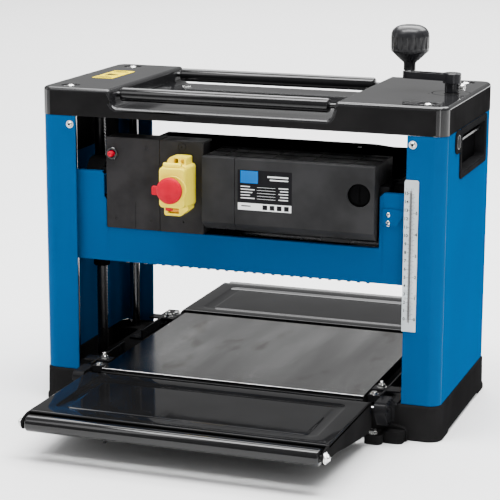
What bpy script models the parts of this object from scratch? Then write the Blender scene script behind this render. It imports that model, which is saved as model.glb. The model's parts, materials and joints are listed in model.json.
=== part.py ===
"""A portable thickness planer: four guide posts carry a powered cutting head over a fixed bed.

Lengths are in millimetres here and become metres when a mesh is made. +X is to the right
seen from the infeed side, +Y is the feed direction and +Z is up. The origin is on the floor
under the centre of the body.
"""

import math

import bmesh
import bpy
from mathutils import Matrix, Vector

MM = 0.001
WELD = 0.002 * MM
GAP = 0.3
SIDES = ((-1, "left"), (1, "right"))
ENDS = ((-1, "front"), (1, "rear"))

# Frame
BASE_X = 258
BASE_Y = 128
BASE_TOP = 43.4
TAB_TOP = 12
LEVEL_BOLT_TOP = 16.5
BED_X = 168.7
BED_FRONT = -145
BED_BACK = 140
BED_TOP = 55.3
BED_THICK = 3
PANEL_X = 254.9
PANEL_INNER_X = 209
PANEL_Y = 124
PANEL_THICK = 2
COVER_BOTTOM = 365.6
COVER_TOP = 399.7
COVER_X = 255.5
COVER_WALL = 3
SADDLE_TOP = 378
SADDLE_X = (-161, 117.5)
SHOULDER_X = (-164, 127.5)

# Height adjustment
POST = (226, 98)
POST_R = 7
SCREW_X = 231
SCREW_R = 7.5
JOURNAL_R = 5.2
SPROCKET_R = 14
CHAIN_Z = (5, 11)
KNOB = (176.5, 7)
CRANK_Z = (413, 423)

# Cutting head
AXIS_Y = 8
AXIS_Z = 205.3
CUTTER_R = 24
KNIFE_R = 25
FEED_OFFSET = 48
FEED_R = 15
FEED_Z = 194.3
MOTOR_Y = -76
MOTOR_Z = 290
PLATE_X = (172, 184)
BELT_X = (-201, -187)
PULLEY_R = 18
MOTOR_PULLEY_R = 12
FINGER_SHAFT = (-96, 203)
FINGER_TIP = (-88, 178.2)
FRONT_Y = -114
SWITCH_X = (-86.5, -54)
SWITCH_MID_X = -70.5
SWITCH_FRONT = -147
LID_HINGE = (SWITCH_FRONT - 3.5, 317.5)
MUSHROOM_Z = 288.5
START_Z = 305
STOP_Z = 281
RESET = (-164, 322)

# Tables and rollers
TABLE_X = 181
TABLE_TOP = 53.5
TABLE_PIVOT = (-156, 45)
TABLE_ROLLER = (-339, 43.3)
TABLE_ROLLER_R = 9.7
RETURN_Y = 100
RETURN_Z = 391.5
RETURN_R = 8.7

AXES = {"x": (1, 2, 0), "y": (0, 2, 1), "z": (0, 1, 2)}
DIRECTIONS = {"x": (1, 0, 0), "y": (0, 1, 0), "z": (0, 0, 1)}


def clear_scene():
    for obj in list(bpy.data.objects):
        bpy.data.objects.remove(obj)


def finish(name, colour, roughness, metallic=0.0):
    """A plain Principled material."""
    material = bpy.data.materials.new(name)
    material.use_nodes = True
    shader = material.node_tree.nodes["Principled BSDF"]
    shader.inputs["Base Color"].default_value = (*colour, 1)
    shader.inputs["Roughness"].default_value = roughness
    shader.inputs["Metallic"].default_value = metallic
    return material


def spot(axis, u, v, w):
    """The point with plane coordinates u, v and distance w along the axis."""
    point = [0, 0, 0]
    for index, value in zip(AXES[axis], (u, v, w)):
        point[index] = value
    return Vector(point)


def from_bmesh(name, shape):
    bmesh.ops.recalc_face_normals(shape, faces=shape.faces)
    mesh = bpy.data.meshes.new(name)
    shape.to_mesh(mesh)
    shape.free()
    obj = bpy.data.objects.new(name, mesh)
    bpy.context.scene.collection.objects.link(obj)
    return obj


def prism(name, outline, axis, low, high):
    """The outline, points in the plane across the axis, extruded from low to high."""
    shape = bmesh.new()
    corners = [shape.verts.new(spot(axis, u, v, low) * MM) for u, v in outline]
    face = shape.faces.new(corners)
    raised = bmesh.ops.extrude_face_region(shape, geom=[face])["geom"]
    moved = [item for item in raised if isinstance(item, bmesh.types.BMVert)]
    bmesh.ops.translate(shape, verts=moved, vec=spot(axis, 0, 0, high - low) * MM)
    return from_bmesh(name, shape)


def block(name, one, other):
    """A box between two opposite corners."""
    low = [min(pair) for pair in zip(one, other)]
    high = [max(pair) for pair in zip(one, other)]
    outline = ((low[0], low[1]), (high[0], low[1]), (high[0], high[1]), (low[0], high[1]))
    return prism(name, outline, "z", low[2], high[2])


def turned(name, profile, axis, centre, segments=24):
    """The profile, (place along the axis, radius) points, spun round the axis.

    It starts and ends on the axis, or closes on itself round a bore.
    """
    shape = bmesh.new()
    u, v = centre
    corners = [shape.verts.new(spot(axis, u + r, v, w) * MM) for w, r in profile]
    edges = [shape.edges.new(pair) for pair in zip(corners, corners[1:])]
    if profile[0][1] > 0:
        edges.append(shape.edges.new((corners[-1], corners[0])))
    bmesh.ops.spin(
        shape,
        geom=corners + edges,
        cent=spot(axis, u, v, 0) * MM,
        axis=DIRECTIONS[axis],
        angle=math.tau,
        steps=segments,
        use_merge=True,
    )
    bmesh.ops.remove_doubles(shape, verts=shape.verts, dist=WELD)
    return from_bmesh(name, shape)


def rod(name, radius, axis, centre, low, high, segments=24):
    return turned(name, ((low, 0), (low, radius), (high, radius), (high, 0)), axis, centre, segments)


def tube(name, radii, axis, centre, low, high, segments=24):
    inner, outer = radii
    profile = ((low, inner), (low, outer), (high, outer), (high, inner))
    return turned(name, profile, axis, centre, segments)


def stepped(steps):
    """A turned profile of plain cylinders, given as (from, to, radius) along the axis."""
    profile = [(steps[0][0], 0)]
    for low, high, radius in steps:
        profile += [(low, radius), (high, radius)]
    return profile + [(steps[-1][1], 0)]


def arc(centre, radius, start, end, steps):
    """Points on a circle from the start angle to the end angle, in degrees."""
    angles = [math.radians(start + (end - start) * i / steps) for i in range(steps + 1)]
    return [(centre[0] + radius * math.cos(a), centre[1] + radius * math.sin(a)) for a in angles]


def rounded(u0, v0, u1, v1, radius, steps=6):
    """A rectangle's outline with round corners."""
    points = []
    for turn, (u, v) in enumerate(((u1, v1), (u0, v1), (u0, v0), (u1, v0))):
        centre = (u - math.copysign(radius, u - u0 - u1 + u), v - math.copysign(radius, v - v0 - v1 + v))
        points += arc(centre, radius, 90 * turn, 90 * turn + 90, steps)
    return points


def loop(one, other, steps=12):
    """The outline of a belt round two circles, each (u, v, radius)."""
    across = Vector(other[:2]) - Vector(one[:2])
    heading = math.degrees(math.atan2(across.y, across.x))
    lean = math.degrees(math.acos((one[2] - other[2]) / across.length))
    back = arc(one[:2], one[2], heading + lean, heading + 360 - lean, steps)
    return back + arc(other[:2], other[2], heading - lean, heading + lean, steps)


def combine(target, tool, operation):
    """Applies one exact Boolean and removes the tool."""
    change = target.modifiers.new(operation, "BOOLEAN")
    change.operation = operation
    change.solver = "EXACT"
    change.object = tool
    graph = bpy.context.evaluated_depsgraph_get()
    mesh = bpy.data.meshes.new_from_object(target.evaluated_get(graph))
    target.modifiers.clear()
    shape = bmesh.new()
    shape.from_mesh(mesh)
    bmesh.ops.remove_doubles(shape, verts=shape.verts, dist=WELD)
    bmesh.ops.dissolve_degenerate(shape, edges=shape.edges, dist=WELD)
    shape.to_mesh(mesh)
    shape.free()
    target.data = mesh
    bpy.data.objects.remove(tool)


def join(target, *tools):
    for tool in tools:
        combine(target, tool, "UNION")


def cut(target, *tools):
    for tool in tools:
        combine(target, tool, "DIFFERENCE")


def turn(obj, degrees, centre):
    """Turns a mesh about the X axis through the centre (y, z)."""
    pivot = Vector((0, *centre)) * MM
    spin = Matrix.Rotation(math.radians(degrees), 4, "X")
    obj.data.transform(Matrix.Translation(pivot) @ spin @ Matrix.Translation(-pivot))
    return obj


def dress(material, *objects):
    for obj in objects:
        obj.data.materials.clear()
        obj.data.materials.append(material)
        obj.data.shade_smooth()
        obj.data.set_sharp_from_angle(angle=math.radians(35))


def hang(name, pivot, parent, *objects):
    """Puts the pieces of one moving body under an empty on its joint's axis."""
    empty = bpy.data.objects.new(name, None)
    bpy.context.scene.collection.objects.link(empty)
    empty.parent = parent
    home = parent["pivot"] if parent else (0, 0, 0)
    empty["pivot"] = pivot
    empty.location = (Vector(pivot) - Vector(home)) * MM
    for obj in objects:
        obj.data.transform(Matrix.Translation(-Vector(pivot) * MM))
        obj.parent = empty
    return empty


def base_casting():
    base = prism("base_casting", rounded(-BASE_X, -BASE_Y, BASE_X, BASE_Y, 18), "z", 0, BASE_TOP)
    riser_top = BED_TOP - BED_THICK - GAP
    join(base, block("riser", (-BED_X, BED_FRONT, 30), (BED_X, BED_BACK, riser_top)))
    for side, _ in SIDES:
        for end, _ in ENDS:
            corners = sorted((side * 172, side * 218)) + sorted((end * 120, end * 157))
            outline = rounded(corners[0], corners[2], corners[1], corners[3], 6, 3)
            join(base, prism("tab", outline, "z", 0, TAB_TOP))
            join(base, rod("level_bolt", 5, "z", (side * 182, end * 149), 6, LEVEL_BOLT_TOP, 12))
            cut(base, rod("post_hole", POST_R + GAP, "z", (side * POST[0], end * POST[1]), 14, 60, 24))
        cut(base, block("well", (side * 213, -80, 20), (side * 251, 80, 60)))
        cut(base, rod("screw_hole", JOURNAL_R + GAP, "z", (side * SCREW_X, 0), -1, 30, 24))
    cut(base, block("chain_channel", (-252, -22, -1), (252, 22, 14)))
    for end, _ in ENDS:
        cut(base, block("pocket", (-200, end * 30, -1), (200, end * 121, 36)))
    return base


def bed_plate():
    return block("bed_plate", (-BED_X, BED_FRONT, BED_TOP - BED_THICK), (BED_X, BED_BACK, BED_TOP))


def side_panel(side, label):
    """A column folded from sheet into a C that opens towards the middle."""
    radius = 15
    inner = radius - PANEL_THICK
    outline = [(PANEL_INNER_X, -PANEL_Y)]
    outline += arc((PANEL_X - radius, -PANEL_Y + radius), radius, -90, 0, 6)
    outline += arc((PANEL_X - radius, PANEL_Y - radius), radius, 0, 90, 6)
    outline += [(PANEL_INNER_X, PANEL_Y), (PANEL_INNER_X, PANEL_Y - PANEL_THICK)]
    outline += arc((PANEL_X - radius, PANEL_Y - radius), inner, 90, 0, 6)
    outline += arc((PANEL_X - radius, -PANEL_Y + radius), inner, 0, -90, 6)
    outline += [(PANEL_INNER_X, -PANEL_Y + PANEL_THICK)]
    outline = [(side * x, y) for x, y in outline]
    panel = prism(f"side_panel_{label}", outline, "z", BASE_TOP + GAP, COVER_BOTTOM - GAP)
    cut(panel, block("grip_hole", (side * 240, -50.8, 308.2), (side * 270, 84.8, 361.8)))
    return panel


def carry_handle(side, label):
    """A moulded grip recess let into the side panel, with a flange over its edge."""
    flange = rounded(-54, 305, 88, 365, 3, 2)
    low, high = sorted((side * (PANEL_X + GAP), side * 257))
    handle = prism(f"carry_handle_{label}", flange, "x", low, high)
    join(handle, prism("ear", rounded(-80, 338, -50, 365, 8, 4), "x", low, high))
    join(handle, block("cup", (side * 241.5, -50, 309), (side * 256, 84, 361)))
    cut(handle, block("recess", (side * 243.5, -48, 311), (side * 260, 82, 359)))
    return handle


def cover_shell(inset, bottom, depth, radius):
    """The top cover's outer or inner form: two shoulders with a saddle between them."""
    slips = []
    for foot, head in zip(SADDLE_X, SHOULDER_X):
        lean = abs(head - foot) / (COVER_TOP - SADDLE_TOP)
        slips.append(inset * (math.hypot(1, lean) - lean))
    left, right = slips
    outline = (
        (-COVER_X + inset, bottom),
        (COVER_X - inset, bottom),
        (COVER_X - inset, COVER_TOP - inset),
        (SHOULDER_X[1] + right, COVER_TOP - inset),
        (SADDLE_X[1] + right, SADDLE_TOP - inset),
        (SADDLE_X[0] - left, SADDLE_TOP - inset),
        (SHOULDER_X[0] - left, COVER_TOP - inset),
        (-COVER_X + inset, COVER_TOP - inset),
    )
    shell = prism("top_cover", outline, "y", -depth, depth)
    plan = rounded(-COVER_X + inset, -depth, COVER_X - inset, depth, radius)
    combine(shell, prism("plan", plan, "z", bottom - 1, COVER_TOP + 1), "INTERSECT")
    return shell


def top_cover():
    cover = cover_shell(0, COVER_BOTTOM, PANEL_Y, 15)
    cut(cover, cover_shell(COVER_WALL, COVER_BOTTOM - 5, PANEL_Y - COVER_WALL, 12))
    cut(cover, rod("crank_hole", 8, "z", (SCREW_X, 0), COVER_TOP - 10, COVER_TOP + 5))
    for end, _ in ENDS:
        for low, high in ((-185, -150), (105, 140)):
            cut(cover, rod("pin_hole", 3.4, "x", (end * RETURN_Y, RETURN_Z), low, high, 12))
    return cover


def return_roller(end, label):
    steps = ((-169, -157, 3), (-157, 108.5, RETURN_R), (108.5, 130, 3))
    return turned(f"return_roller_{label}", stepped(steps), "x", (end * RETURN_Y, RETURN_Z), 24)


def guide_post(side, side_label, end, end_label):
    place = (side * POST[0], end * POST[1])
    return rod(f"guide_post_{end_label}_{side_label}", POST_R, "z", place, 14 + GAP, 396, 20)


def lead_screw(side, label, top):
    steps = ((4, 20.4, JOURNAL_R), (20.4, 380, SCREW_R), (380, top, 6))
    return turned(f"lead_screw_{label}", stepped(steps), "z", (side * SCREW_X, 0), 20)


def sprocket(side, label):
    teeth = 12
    outline = []
    for tooth in range(teeth):
        for part, radius in ((-0.3, 11.5), (-0.12, SPROCKET_R), (0.12, SPROCKET_R), (0.3, 11.5)):
            angle = math.tau * (tooth + part) / teeth
            outline.append((side * SCREW_X + radius * math.cos(angle), radius * math.sin(angle)))
    wheel = prism(f"sprocket_{label}", outline, "z", CHAIN_Z[0] - 0.5, CHAIN_Z[1] + 0.5)
    cut(wheel, rod("bore", JOURNAL_R + GAP, "z", (side * SCREW_X, 0), 0, 20, 16))
    return wheel


def drive_chain():
    """The chain that turns both lead screws together, as one closed band in the base."""
    outer = loop((-SCREW_X, 0, SPROCKET_R + 4.5), (SCREW_X, 0, SPROCKET_R + 4.5))
    inner = loop((-SCREW_X, 0, SPROCKET_R + 1), (SCREW_X, 0, SPROCKET_R + 1))
    chain = prism("drive_chain", outer, "z", *CHAIN_Z)
    cut(chain, prism("inside", inner, "z", CHAIN_Z[0] - 1, CHAIN_Z[1] + 1))
    return chain


def crank_arm():
    arm = rod("crank_arm", 11, "z", (SCREW_X, 0), COVER_TOP + 0.7, 424, 24)
    outline = loop((SCREW_X, 0, 8.8), (KNOB[0], KNOB[1], 8.5), 8)
    join(arm, prism("bar", outline, "z", *CRANK_Z))
    join(arm, rod("knob_bolt", 4, "z", KNOB, CRANK_Z[1] - 2, 466, 16))
    cut(arm, rod("bore", 6 + GAP, "z", (SCREW_X, 0), 390, 430, 20))
    cut(arm, rod("clamp_hole", 2.6, "x", (0, 407), SCREW_X + 4, 250, 12))
    return arm


def crank_clamp_screw():
    steps = ((238, 242.4, 2.3), (242.4, 247, 4.2))
    return turned("crank_clamp_screw", stepped(steps), "x", (0, 407), 12)


def crank_knob():
    outside = ((479, 0), (478, 8), (474.5, 17), (469, 22), (462, 23.2), (449, 23.2), (445, 21), (434, 8), (424, 7.5))
    return turned("crank_knob", (*outside, (424, 4 + GAP), (468, 4 + GAP), (468, 0)), "z", KNOB, 24)


def head_casting():
    """Two end plates tied by two beams, with bosses that run on the posts."""
    sole = 190
    plate = (
        (-104, sole), (-22, sole), (-18, 166), (18, 166), (22, sole), (101, sole), (101, 300), (-104, 300),
    )
    low, high = PLATE_X
    casting = prism("head_casting", plate, "x", -high, -low)
    join(casting, prism("right_plate", plate, "x", low, high))
    join(casting, block("rear_beam", (-high + 4, 86, 262), (high - 4, 100, 299)))
    join(casting, block("front_beam", (-high + 4, -108, 212), (high - 4, -92, 226)))
    for side, _ in SIDES:
        for end, _ in ENDS:
            join(casting, block("arm", (side * (high - 4), end * 89, 206), (side * 217, end * 99, 246)))
            join(casting, rod("boss", 13, "z", (side * POST[0], end * POST[1]), 196, 256, 24))
        join(casting, block("nut_arm", (side * (high - 4), -16, 167), (side * 214, 16, 178)))
        for end, _ in ENDS:
            place = (side * POST[0], end * POST[1])
            cut(casting, rod("post_bore", POST_R + GAP, "z", place, 190, 260, 24))
    for y, z, radius in (
        (AXIS_Y, AXIS_Z, 17 + GAP),
        (AXIS_Y - FEED_OFFSET, FEED_Z, 6 + GAP),
        (AXIS_Y + FEED_OFFSET, FEED_Z, 6 + GAP),
        (*FINGER_SHAFT, 4 + GAP),
    ):
        cut(casting, rod("bore", radius, "x", (y, z), -high - 5, -low + 5, 20))
        cut(casting, rod("bore", radius, "x", (y, z), low - 5, high + 5, 20))
    cut(casting, rod("shaft_hole", 9, "x", (MOTOR_Y, MOTOR_Z), -high - 5, -low + 5, 16))
    return casting


def lead_nut(side, label):
    low, high = sorted((side * (214 + GAP), side * 248))
    nut = prism(f"lead_nut_{label}", rounded(low, -17, high, 17, 5, 3), "z", 150, 186)
    cut(nut, rod("thread", SCREW_R + GAP, "z", (side * SCREW_X, 0), 140, 200, 20))
    return nut


def front_panel():
    outline = (
        (-216, 185.5), (216, 185.5), (216, 294), (179.5, 294), (175.5, 290),
        (175.5, 227.5), (-173, 227.5), (-173, 294), (-176, 297), (-216, 297),
    )
    return prism("front_panel", outline, "y", FRONT_Y, FRONT_Y + 2)


def switch_panel():
    """The black control box at the left of the head, open behind."""
    panel = block("switch_panel", (-171.5, -116, 228), (-44.2, -92, 341))
    cut(panel, block("inside", (-169, -113.5, 230.5), (-46.7, -90, 338.5)))
    cut(panel, rod("reset_hole", 5, "y", RESET, -120, -100, 16))
    return panel


def motor_cover():
    """The motor's front shell, with a chamfer under its nose, open behind."""
    outer = ((-124, 246), (-112, 236), (-44, 236), (-44, 326), (-124, 326))
    inner = ((-121, 247.4), (-111, 239), (-40, 239), (-40, 323), (-121, 323))
    cover = prism("motor_cover", outer, "x", -43.5, 171.5)
    cut(cover, prism("inside", inner, "x", -40.5, 168.5))
    cut(cover, rod("brush_hole", 14, "y", (152.5, 291), -130, -110, 24))
    cut(cover, rod("shaft_hole", 9, "x", (MOTOR_Y, MOTOR_Z), -50, -35, 16))
    return cover


def brush_cap():
    steps = ((-120, -113, 13.4), (-113, -91, 5))
    return turned("brush_cap", stepped(steps), "y", (152.5, 291), 20)


def head_cover():
    """The hood over the cutter: flat in front, then falling towards the dust chute."""
    cover = prism("head_cover", ((-42, 302), (98, 302), (98, 310), (0, 332), (-42, 332)), "x", -140, 167)
    hollow = ((-39.5, 300), (95.5, 300), (95.5, 308), (-0.3, 329.5), (-39.5, 329.5))
    cut(cover, prism("inside", hollow, "x", -137.5, 164.5))
    return cover


def dust_chute():
    """The chip chute behind the head, with a round port for a hose."""
    chute = block("dust_chute", (-150, 101, 215), (150, 128, 300))
    join(chute, rod("port", 29, "y", (95, 270), 120, 165, 28))
    cut(chute, block("inside", (-147.5, 95, 217.5), (147.5, 125.5, 297.5)))
    cut(chute, rod("port_hole", 26.5, "y", (95, 270), 110, 170, 28))
    return chute


def gear_cover():
    cover = prism("gear_cover", rounded(-84, 179.5, 84, 300, 8, 3), "x", 184 + GAP, 206.5)
    cut(cover, prism("inside", rounded(-81.8, 181.7, 81.8, 297.8, 6, 3), "x", 180, 204.3))
    return cover


def belt_path(clearance):
    """An outline that stays the clearance outside both pulleys."""
    motor = (MOTOR_Y, MOTOR_Z, MOTOR_PULLEY_R + clearance)
    return loop(motor, (AXIS_Y, AXIS_Z, PULLEY_R + clearance))


def drive_belt():
    belt = prism("drive_belt", belt_path(3.6), "x", *BELT_X)
    cut(belt, prism("inside", belt_path(GAP), "x", BELT_X[0] - 1, BELT_X[1] + 1))
    return belt


def belt_cover():
    cover = prism("belt_cover", belt_path(7.8), "x", -208.5, -184 - GAP)
    cut(cover, prism("inside", belt_path(5.6), "x", -206.3, -180))
    return cover


def cutterhead():
    steps = ((-203, -166, 8), (-166, 166, CUTTER_R), (166, 190, 8), (190, 198, 14), (198, 200, 8))
    head = turned("cutterhead", stepped(steps), "x", (AXIS_Y, AXIS_Z), 32)
    for knife in range(2):
        slot = block("slot", (-162, AXIS_Y - 1.8, AXIS_Z + 12), (162, AXIS_Y + 1.8, AXIS_Z + 30))
        cut(head, turn(slot, 30 + 180 * knife, (AXIS_Y, AXIS_Z)))
    return head


def knife(number, label):
    low, high = (-161, AXIS_Y - 1.5, AXIS_Z + 12.4), (161, AXIS_Y + 1.5, AXIS_Z + KNIFE_R)
    return turn(block(f"knife_{label}", low, high), 30 + 180 * number, (AXIS_Y, AXIS_Z))


def cutterhead_pulley():
    return tube("cutterhead_pulley", (8 + GAP, PULLEY_R), "x", (AXIS_Y, AXIS_Z), *BELT_X, 24)


def bearing(side, label):
    low, high = sorted((side * 172.4, side * 183.6))
    return tube(f"cutterhead_bearing_{label}", (8 + GAP, 17), "x", (AXIS_Y, AXIS_Z), low, high, 24)


def motor_stator():
    return tube("motor_stator", (25, 32), "x", (MOTOR_Y, MOTOR_Z), -25, 110, 28)


def motor_armature():
    steps = (
        (BELT_X[0], BELT_X[1], MOTOR_PULLEY_R), (BELT_X[1], -38, 6), (-38, -30, 24), (-30, -15, 6),
        (-15, 100, 23.5), (100, 140, 6), (140, 162, 13), (162, 168, 6),
    )
    return turned("motor_armature", stepped(steps), "x", (MOTOR_Y, MOTOR_Z), 24)


def feed_roller(offset, label):
    steps = ((-183, -160, 6), (-160, 160, FEED_R), (160, 190, 6), (190, 196, 11.5), (196, 202, 6))
    return turned(f"{label}_feed_roller", stepped(steps), "x", (AXIS_Y + offset, FEED_Z), 24)


def anti_kickback_fingers():
    """Twenty-seven hanging fingers in a comb on one shaft, leaning in the feed direction."""
    pitch, half_width = 12, 1.8
    top = FINGER_SHAFT[1] + 3
    root = FINGER_SHAFT[1] - 4
    outline = [(-163, top), (-163, root)]
    for number in range(-13, 14):
        middle = number * pitch
        outline += [(middle - half_width, root), (middle - half_width, FINGER_TIP[1])]
        outline += [(middle + half_width, FINGER_TIP[1]), (middle + half_width, root)]
    outline += [(163, root), (163, top)]
    comb = prism("anti_kickback_fingers", outline, "y", -2, 2)
    lean = (FINGER_TIP[0] - FINGER_SHAFT[0]) / (FINGER_SHAFT[1] - FINGER_TIP[1])
    for vertex in comb.data.vertices:
        drop = FINGER_SHAFT[1] * MM - vertex.co.z
        vertex.co.y += FINGER_SHAFT[0] * MM + lean * drop
    join(comb, rod("shaft", 4, "x", FINGER_SHAFT, -181, 181, 12))
    return comb


def switch_body():
    body = block("switch_body", (SWITCH_X[0], SWITCH_FRONT, 264.6), (SWITCH_X[1], -116.3, 316))
    join(body, block("ears", (-82, -126, 253), (-59, -116.3, 328)))
    for z in (START_Z, STOP_Z):
        cut(body, rod("pocket", 5 + GAP, "y", (SWITCH_MID_X, z), SWITCH_FRONT - 2, SWITCH_FRONT + 19.8, 16))
    return body


def push_button(name, centre, front, back):
    return rod(name, 5 if name != "reset_button" else 4.7, "y", centre, front, back, 16)


def switch_lid():
    outline = rounded(SWITCH_X[0], 266, SWITCH_X[1], 315, 4, 3)
    lid = prism("switch_lid", outline, "y", SWITCH_FRONT - 8, SWITCH_FRONT - 0.4)
    join(lid, rod("knuckle", 3, "x", LID_HINGE, SWITCH_X[0] + 5, SWITCH_X[1] - 5, 12))
    pocket = (SWITCH_X[0] + 2.5, SWITCH_FRONT - 5, 268.5), (SWITCH_X[1] - 2.5, SWITCH_FRONT + 8, 312.5)
    cut(lid, block("inside", *pocket))
    cut(lid, rod("stem_hole", 5 + GAP, "y", (SWITCH_MID_X, MUSHROOM_Z), SWITCH_FRONT - 12, SWITCH_FRONT - 2, 16))
    return lid


def stop_mushroom():
    crown = ((-20, 0), (-19.4, 9), (-17, 14.2), (-13.5, 16), (-11, 16), (-11, 5), (-6.2, 5), (-6.2, 0))
    profile = [(SWITCH_FRONT + reach, radius) for reach, radius in crown]
    return turned("stop_mushroom", profile, "y", (SWITCH_MID_X, MUSHROOM_Z), 24)


def scale_pointer():
    outline = ((179, 256), (196, 256), (207, 272.6), (207, 273.4), (196, 276), (179, 276))
    return prism("scale_pointer", outline, "y", FRONT_Y - 1.5, FRONT_Y - GAP)


def height_scale():
    return block("height_scale", (207.5, -125.1, 133), (224.5, -PANEL_Y - GAP, 314))


def table_bracket(side, side_label, end, end_label):
    """A lug on the base that carries one end of a table's hinge pin."""
    pivot_y, pivot_z = TABLE_PIVOT
    outline = [(-BASE_Y - GAP, 22), (-BASE_Y - GAP, 53)]
    outline += arc((pivot_y, pivot_z), 8, 90, 215, 8) + [(-148, 22)]
    outline = [(-end * y, z) for y, z in outline]
    low, high = sorted((side * 186, side * 200))
    name = f"table_bracket_{end_label}_{side_label}"
    bracket = prism(name, outline, "x", low, high)
    cut(bracket, rod("pin_hole", 3 + GAP, "x", (-end * pivot_y, pivot_z), low - 2, high + 2, 16))
    return bracket


def skirt_outline():
    """The side wall of the infeed table: shallow at the roller and deep at the hinge."""
    roller_y, roller_z = TABLE_ROLLER
    pivot_y, pivot_z = TABLE_PIVOT
    ear = arc((pivot_y, pivot_z), 7.5, -20, 60, 5)
    nose = arc((roller_y, roller_z), 7.5, 120, 270, 6)
    sole = [(-304, 36), (-265, 30), (-176, 16.8), (-160, 18.5), (-152, 19.5)]
    return nose + sole + ear + [(-162, TABLE_TOP), (-330, TABLE_TOP)]


def extension_table(end, label):
    """A pressed table with side skirts and its two hinge pins; end is -1 at the infeed."""
    facing = -end

    def along(y):
        return facing * y

    low, high = sorted((along(-325), along(-160)))
    table = block(f"{label}_table", (-TABLE_X, low, 51), (TABLE_X, high, TABLE_TOP))
    outline = [(along(y), z) for y, z in skirt_outline()]
    for side, _ in SIDES:
        wall = sorted((side * (TABLE_X - 2.5), side * TABLE_X))
        join(table, prism("skirt", outline, "x", *wall))
        ends = sorted((side * 175, side * 204))
        join(table, rod("hinge_pin", 3, "x", (along(TABLE_PIVOT[0]), TABLE_PIVOT[1]), *ends, 12))
        hole = sorted((side * 170, side * 190))
        cut(table, rod("axle_hole", 3.4, "x", (along(TABLE_ROLLER[0]), TABLE_ROLLER[1]), *hole, 12))
    inner = TABLE_X - 2
    join(table, block("front_hem", (-inner, along(-325), 44), (inner, along(-322.5), 52)))
    join(table, block("rear_hem", (-inner, along(-162.5), 40), (inner, along(-160), 52)))
    return table


def end_roller(end, label):
    """The roller at the far end of a table, with its axle and the nuts on it."""
    half = ((176, 181.5, 3), (181.5, 187, 5.6))
    left = tuple((-high, -low, radius) for low, high, radius in reversed(half))
    steps = (*left, (-176, 176, TABLE_ROLLER_R), *half)
    centre = (-end * TABLE_ROLLER[0], TABLE_ROLLER[1])
    return turned(f"{label}_end_roller", stepped(steps), "x", centre, 24)


def frame_pieces(black, blue, steel, chrome, pale):
    dress(black, base_casting(), top_cover(), drive_chain())
    dress(steel, bed_plate())
    dress(pale, height_scale())
    for side, side_label in SIDES:
        dress(blue, side_panel(side, side_label))
        dress(black, carry_handle(side, side_label))
        for end, end_label in ENDS:
            dress(chrome, guide_post(side, side_label, end, end_label))
            dress(black, table_bracket(side, side_label, end, end_label))


def height_adjustment(black, dark, chrome):
    turned_by_hand = [lead_screw(1, "right", 424), sprocket(1, "right"), crank_arm(), crank_clamp_screw()]
    turned_by_chain = [lead_screw(-1, "left", 394), sprocket(-1, "left")]
    knob = crank_knob()
    dress(dark, *turned_by_hand[:2], *turned_by_chain)
    dress(black, turned_by_hand[2], knob)
    dress(chrome, turned_by_hand[3])
    crank = hang("crank_turn", (SCREW_X, 0, 0), None, *turned_by_hand)
    hang("left_screw_turn", (-SCREW_X, 0, 0), None, *turned_by_chain)
    hang("knob_spin", (*KNOB, CRANK_Z[1]), crank, knob)


def carriage(black, blue, dark, chrome, grey, yellow, red, green):
    casting = head_casting()
    covers = [switch_panel(), motor_cover(), head_cover(), dust_chute(), gear_cover(), belt_cover()]
    nuts = [lead_nut(side, label) for side, label in SIDES]
    panel, pointer = front_panel(), scale_pointer()
    inner = [motor_stator(), brush_cap(), drive_belt()]
    bearings = [bearing(side, label) for side, label in SIDES]
    body = switch_body()
    dress(grey, inner[0])
    dress(black, casting, *covers, *nuts, inner[1], inner[2])
    dress(blue, panel, pointer)
    dress(chrome, *bearings)
    dress(yellow, body)
    lift = hang("carriage_lift", (0, 0, 0), None, casting, *covers, *nuts, panel, pointer, *inner, *bearings, body)

    head, pulley = cutterhead(), cutterhead_pulley()
    knives = [knife(number, label) for number, label in enumerate(("a", "b"))]
    dress(grey, head, pulley)
    dress(chrome, *knives)
    hang("cutterhead_spin", (0, AXIS_Y, AXIS_Z), lift, head, pulley, *knives)
    armature = motor_armature()
    dress(dark, armature)
    hang("motor_spin", (0, MOTOR_Y, MOTOR_Z), lift, armature)
    for offset, label in ((-FEED_OFFSET, "infeed"), (FEED_OFFSET, "outfeed")):
        roller = feed_roller(offset, label)
        dress(dark, roller)
        hang(f"{label}_feed_spin", (0, AXIS_Y + offset, FEED_Z), lift, roller)
    fingers = anti_kickback_fingers()
    dress(dark, fingers)
    hang("finger_swing", (0, *FINGER_SHAFT), lift, fingers)

    lid, mushroom = switch_lid(), stop_mushroom()
    start = push_button("start_button", (SWITCH_MID_X, START_Z), SWITCH_FRONT - 3.2, SWITCH_FRONT + 16)
    stop = push_button("stop_button", (SWITCH_MID_X, STOP_Z), SWITCH_FRONT - 3.2, SWITCH_FRONT + 16)
    reset = push_button("reset_button", RESET, -123.5, -105)
    dress(yellow, lid)
    dress(red, mushroom, stop, reset)
    dress(green, start)
    lid_body = hang("lid_swing", (SWITCH_MID_X, *LID_HINGE), lift, lid)
    hang("mushroom_press", (SWITCH_MID_X, SWITCH_FRONT - 12, MUSHROOM_Z), lid_body, mushroom)
    hang("start_press", (SWITCH_MID_X, SWITCH_FRONT, START_Z), lift, start)
    hang("stop_press", (SWITCH_MID_X, SWITCH_FRONT, STOP_Z), lift, stop)
    hang("reset_press", (RESET[0], FRONT_Y, RESET[1]), lift, reset)


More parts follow.
